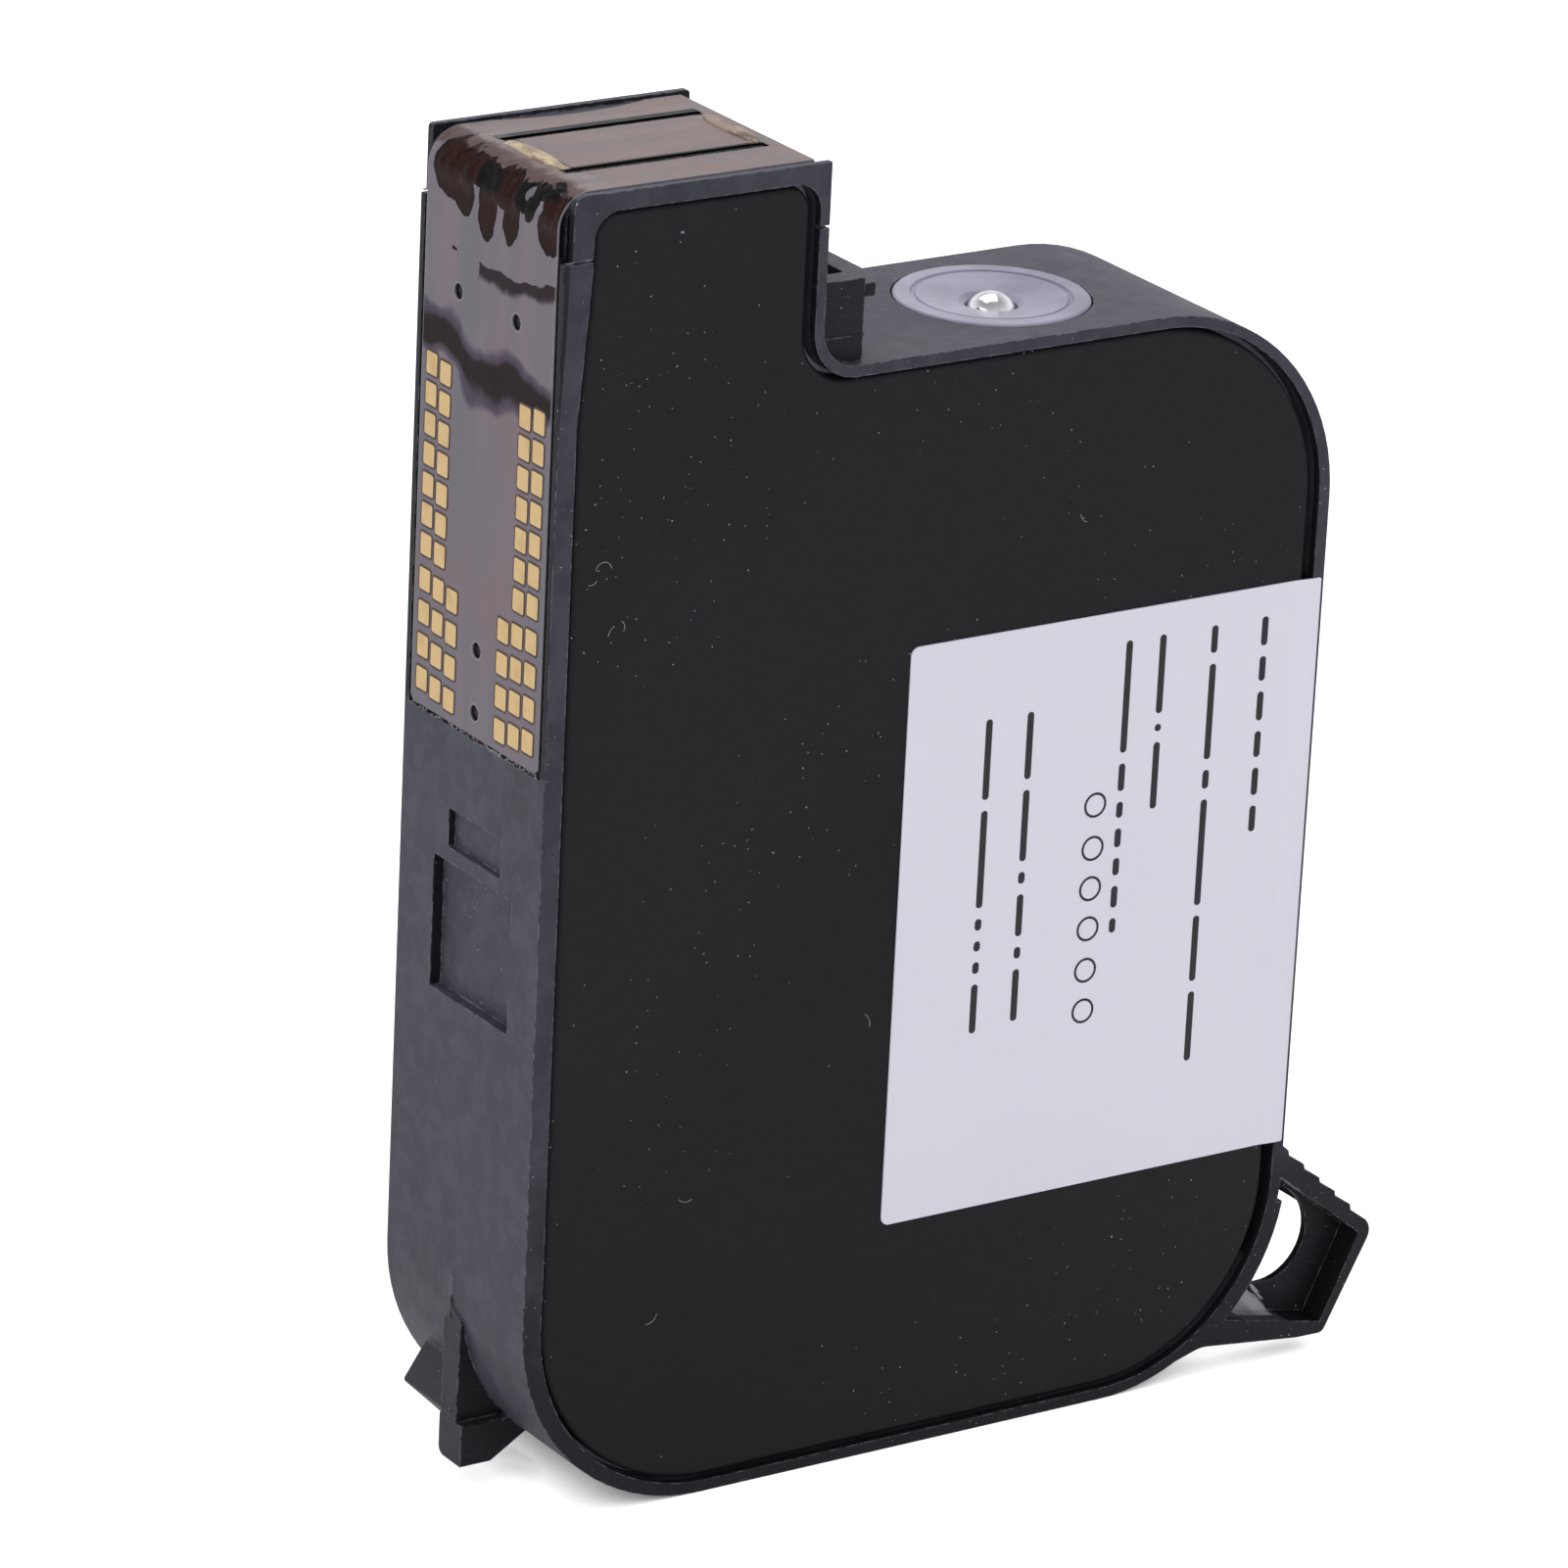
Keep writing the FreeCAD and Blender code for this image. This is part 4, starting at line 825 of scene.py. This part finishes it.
def goldFinish():
    material, shader, tree = newMaterial("matteGold", gold["roughness"], metallic=1.0)
    place = objectPlace(tree)
    tree.links.new(mixColour(tree, patchesOf(tree, place, gold["patches"]), gold["colour"], gold["shade"]),
                   shader.inputs["Base Color"])
    bumpInto(tree, shader, noiseOf(tree, place, *gold["grain"]), *gold["bump"])
    return material


# sealant, adhesive, print and the plain inner parts: (pale, dark, roughness, depth of the lumps)

lumpiness = {"patches": (1500, 4, 0.6, 0.38, 0.62), "stretch": (1, 0.4, 1), "strength": 0.5}

lumpyTones = {
    "creamSealant": ((0.50, 0.38, 0.24), (0.24, 0.16, 0.09), 0.32, 0.12 * mm),
    "tanSealant": ((0.30, 0.21, 0.15), (0.085, 0.050, 0.035), 0.32, 0.12 * mm),
    "darkAdhesive": ((0.03, 0.025, 0.022), (0.012, 0.01, 0.009), 0.4, 0.12 * mm),
    "darkSilicon": ((0.05, 0.05, 0.055), (0.03, 0.03, 0.035), 0.15, 0.12 * mm),
    "plainCarrier": ((0.32, 0.30, 0.27), (0.28, 0.26, 0.23), 0.5, 0.12 * mm),
    "clearBagFilm": ((0.45, 0.45, 0.48), (0.38, 0.38, 0.41), 0.2, 0.12 * mm),
    "plainPrintInk": ((0.010, 0.010, 0.013), (0.018, 0.018, 0.022), 0.6, 0.01 * mm),
    "brownSurround": ((0.030, 0.014, 0.010), (0.045, 0.022, 0.016), 0.45, 0.01 * mm),
    "paleFluff": ((0.42, 0.42, 0.44), (0.3, 0.3, 0.32), 0.7, 0.01 * mm),
    "paleFlash": ((0.22, 0.22, 0.24), (0.09, 0.09, 0.10), 0.5, 0.03 * mm)}


def lumpyFinish(name, pale, dark, roughness, depth):
    material, shader, tree = newMaterial(name, roughness)
    place = stretched(tree, objectPlace(tree), lumpiness["stretch"])
    pattern = patchesOf(tree, place, lumpiness["patches"])
    tree.links.new(mixColour(tree, pattern, pale, dark), shader.inputs["Base Color"])
    bumpInto(tree, shader, pattern, lumpiness["strength"], depth)
    return material


lumpy = {name: lumpyFinish(name, *tones) for name, tones in lumpyTones.items()}
mouldingMaterial = frameFinish()
finishes = [
    (mouldingMaterial, ["outer_frame"]),
    (linerFinish(), ["inner_frame"]),
    (ballFinish(), ["fill_ball"]),
    (coverFinish(), ["label_side_cover", "plain_side_cover"]),
    (labelFinish(), ["label"]),
    (sheetFinish(), ["near_pressure_plate", "far_pressure_plate", "bow_spring",
                     "near_filter_screen", "far_filter_screen"]),
    (filmFinish(), ["flex_circuit"]),
    (goldFinish(), ["contact_pads"]),
    (lumpy["clearBagFilm"], ["near_bag_film", "far_bag_film", "near_plate_pad", "far_plate_pad"]),
    (lumpy["plainCarrier"], ["filter_carrier"]),
    (lumpy["darkSilicon"], ["printhead_die"]),
    (lumpy["darkAdhesive"], ["die_adhesive", "flex_adhesive"]),
    (lumpy["creamSealant"], ["front_lead_bead"]),
    (lumpy["tanSealant"], ["rear_lead_bead"])]
for material, names in finishes:
    for name in names:
        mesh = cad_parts[name].data
        mesh.materials.clear()
        mesh.materials.append(material)
print("materials are on the nodes")


# label marks: six rows of plain bars, with six plain rings beside them
# a row of bars is (distance from the label's rear edge, start, lengths) in millimetres

marks = {"paperThickness": 0.1 * mm, "height": 0.012 * mm, "barWidth": 0.5 * mm, "gap": 0.75 * mm,
         "barRound": 0.49, "ringRadius": 0.87 * mm, "ringWidth": 0.17 * mm, "ringSides": 28,
         "ringsFromRear": 16.9, "rings": [26.7, 23.7, 20.9, 18.1, 15.2, 12.35],
         "bars": [(4.2, 37.7, [2.0, 1.7, 2.0, 1.8, 1.9, 1.8]),
                  (8.2, 37.7, [1.9, 6.6, 1.3, 7.4, 4.6, 4.9]),
                  (12.3, 37.7, [5.4, 0.5, 4.6]),
                  (14.95, 37.7, [7.7, 1.9, 1.1, 1.3, 1.2, 1.5, 1.0]),
                  (22.4, 34.0, [4.6, 4.9, 0.8, 2.9, 0.8, 3.6]),
                  (25.6, 34.0, [5.5, 6.7, 0.8, 0.7, 0.8, 3.4])]}
paperSurface = labelBox[1].y - marks["paperThickness"]


def labelBars():
    bm = bmesh.new()
    for fromRear, start, lengths in marks["bars"]:
        x = labelBox[1].x - fromRear * mm
        z = labelBox[0].z + start * mm
        for length in lengths:
            size = (marks["barWidth"], 2 * marks["height"], length * mm)
            radius = min(marks["barWidth"], length * mm) * marks["barRound"]
            addPlate(bm, (x, paperSurface, z - length * mm / 2), size, radius)
            z -= length * mm + marks["gap"]
    return newPiece("label_bars", bm, lumpy["plainPrintInk"])


def labelRings():
    bm = bmesh.new()
    upright = Matrix.Rotation(math.radians(90), 3, "X")
    for up in marks["rings"]:
        disc = bmesh.ops.create_circle(bm, cap_ends=True, segments=marks["ringSides"],
                                       radius=marks["ringRadius"])["verts"]
        bmesh.ops.rotate(bm, cent=(0, 0, 0), matrix=upright, verts=disc)
        face = disc[0].link_faces[0]
        bmesh.ops.inset_individual(bm, faces=[face], thickness=marks["ringWidth"])
        bmesh.ops.delete(bm, geom=[face], context="FACES")
        newest = [vert for vert in bm.verts if vert.co.length < 2 * marks["ringRadius"]]
        centre = (labelBox[1].x - marks["ringsFromRear"] * mm, paperSurface, labelBox[0].z + up * mm)
        bmesh.ops.translate(bm, vec=centre, verts=newest)
    top = bmesh.ops.extrude_face_region(bm, geom=bm.faces[:])["geom"]
    raised = [part for part in top if isinstance(part, bmesh.types.BMVert)]
    bmesh.ops.translate(bm, vec=(0, -marks["height"], 0), verts=raised)
    return newPiece("label_rings", bm, lumpy["plainPrintInk"])


labelBars()
labelRings()


# thin brown edge round each gold pad, lower than the pad

surround = {"margin": 0.15 * mm, "height": 0.012 * mm, "radius": 0.3 * mm}


def padSurrounds():
    bm = bmesh.new()
    for low, high in islandBoxes("contact_pads"):
        centre = (low + high) / 2
        size = (2 * surround["height"], high.y - low.y + 2 * surround["margin"],
                high.z - low.z + 2 * surround["margin"])
        addPlate(bm, (high.x, centre.y, centre.z), size, surround["radius"])
    return newPiece("pad_surrounds", bm, lumpy["brownSurround"])


padSurrounds()


# rough adhesive squeezed out under the film's lower edge

squeezed = {"grains": 150, "drop": (0.05, 0.30), "thick": 0.06 * mm, "wide": (0.08, 0.26),
            "flatter": 0.6, "seed": 4}


def filmEndAdhesive():
    rng = random.Random(squeezed["seed"])
    bm = bmesh.new()
    for step in range(squeezed["grains"]):
        across = filmBox[0].y + (filmBox[1].y - filmBox[0].y) * rng.random()
        drop = rng.uniform(*squeezed["drop"]) * mm
        wide = rng.uniform(*squeezed["wide"]) * mm
        addGrain(bm, (frontFace * mm, across, filmBox[0].z - drop),
                 (squeezed["thick"], wide, wide * squeezed["flatter"]), rng.random() * math.pi)
    return newPiece("film_end_adhesive", bm, lumpy["paleFlash"])


filmEndAdhesive()


# mould parting line across the rib behind the snout, on both sides

parting = {"start": 19.35, "length": 3.3, "height": 77.1, "half": 7.7, "proud": 0.05, "wide": 0.12,
           "radius": 0.03, "segments": 2}


def ribPartingLine():
    bm = bmesh.new()
    middle = (frontFace + parting["start"] + parting["length"] / 2) * mm
    size = (parting["length"] * mm, 2 * parting["proud"] * mm, parting["wide"] * mm)
    for turned in (-1, 1):
        addPlate(bm, (middle, turned * parting["half"] * mm, parting["height"] * mm), size,
                 parting["radius"] * mm, parting["segments"])
    return newPiece("rib_parting_line", bm, mouldingMaterial)


ribPartingLine()


# flash: torn slivers along the slits in the rims, on both sides

flash = {"seed": 7, "slitStart": 0.15, "slitHeight": 84.8, "slitLength": 1.9, "slivers": 16,
         "face": 8.48, "long": (0.10, 0.26), "thick": 0.03, "high": (0.05, 0.16), "stray": (-0.05, 0.03)}


def edgeFlash():
    rng = random.Random(flash["seed"])
    bm = bmesh.new()
    for turned in (-1, 1):
        for step in range(flash["slivers"]):
            along = frontFace + flash["slitStart"] + flash["slitLength"] * step / flash["slivers"]
            size = (rng.uniform(*flash["long"]) * mm, flash["thick"] * mm, rng.uniform(*flash["high"]) * mm)
            height = flash["slitHeight"] + rng.uniform(*flash["stray"])
            addGrain(bm, (along * mm, turned * flash["face"] * mm, height * mm), size,
                     rng.random() * math.pi)
    return newPiece("edge_flash", bm, lumpy["paleFlash"])


edgeFlash()


# a few hairs of fluff that cling to the label-side cover: (along, height, radius, start, sweep)

fluff = {"thick": 0.02 * mm, "sides": 5, "steps": 9,
         "arcs": [(3.8, 64.5, 0.6, 190, 160), (2.9, 64.2, 0.5, 30, 80), (5.2, 60.0, 0.9, 190, 50),
                  (5.0, 60.6, 0.5, 300, 90), (12.0, 21.5, 0.8, 60, 80), (24.5, 30.5, 0.9, 300, 70),
                  (9.4, 13.4, 0.7, 10, 90), (40.2, 63.0, 0.6, 100, 80)]}


def coverFluff():
    bm = bmesh.new()
    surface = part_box("label_side_cover")[0].y
    for along, up, radius, start, sweep in fluff["arcs"]:
        ring = bmesh.ops.create_circle(bm, segments=fluff["sides"], radius=fluff["thick"])["verts"]
        edges = list({edge for vert in ring for edge in vert.link_edges})
        bmesh.ops.translate(bm, vec=(radius * mm, 0, 0), verts=ring)
        bmesh.ops.spin(bm, geom=ring + edges, cent=(0, 0, 0), axis=(0, 1, 0),
                       angle=math.radians(sweep), steps=fluff["steps"])
        hair = [vert for vert in bm.verts if vert.co.length < 2 * radius * mm]
        turn = Matrix.Rotation(math.radians(start), 3, "Y")
        bmesh.ops.rotate(bm, cent=(0, 0, 0), matrix=turn, verts=hair)
        bmesh.ops.translate(bm, vec=((frontFace + along) * mm, surface, up * mm), verts=hair)
    return newPiece("cover_fluff", bm, lumpy["paleFluff"], smooth=True)


coverFluff()
print("label marks, pad surrounds, adhesive, flash and fluff stand")
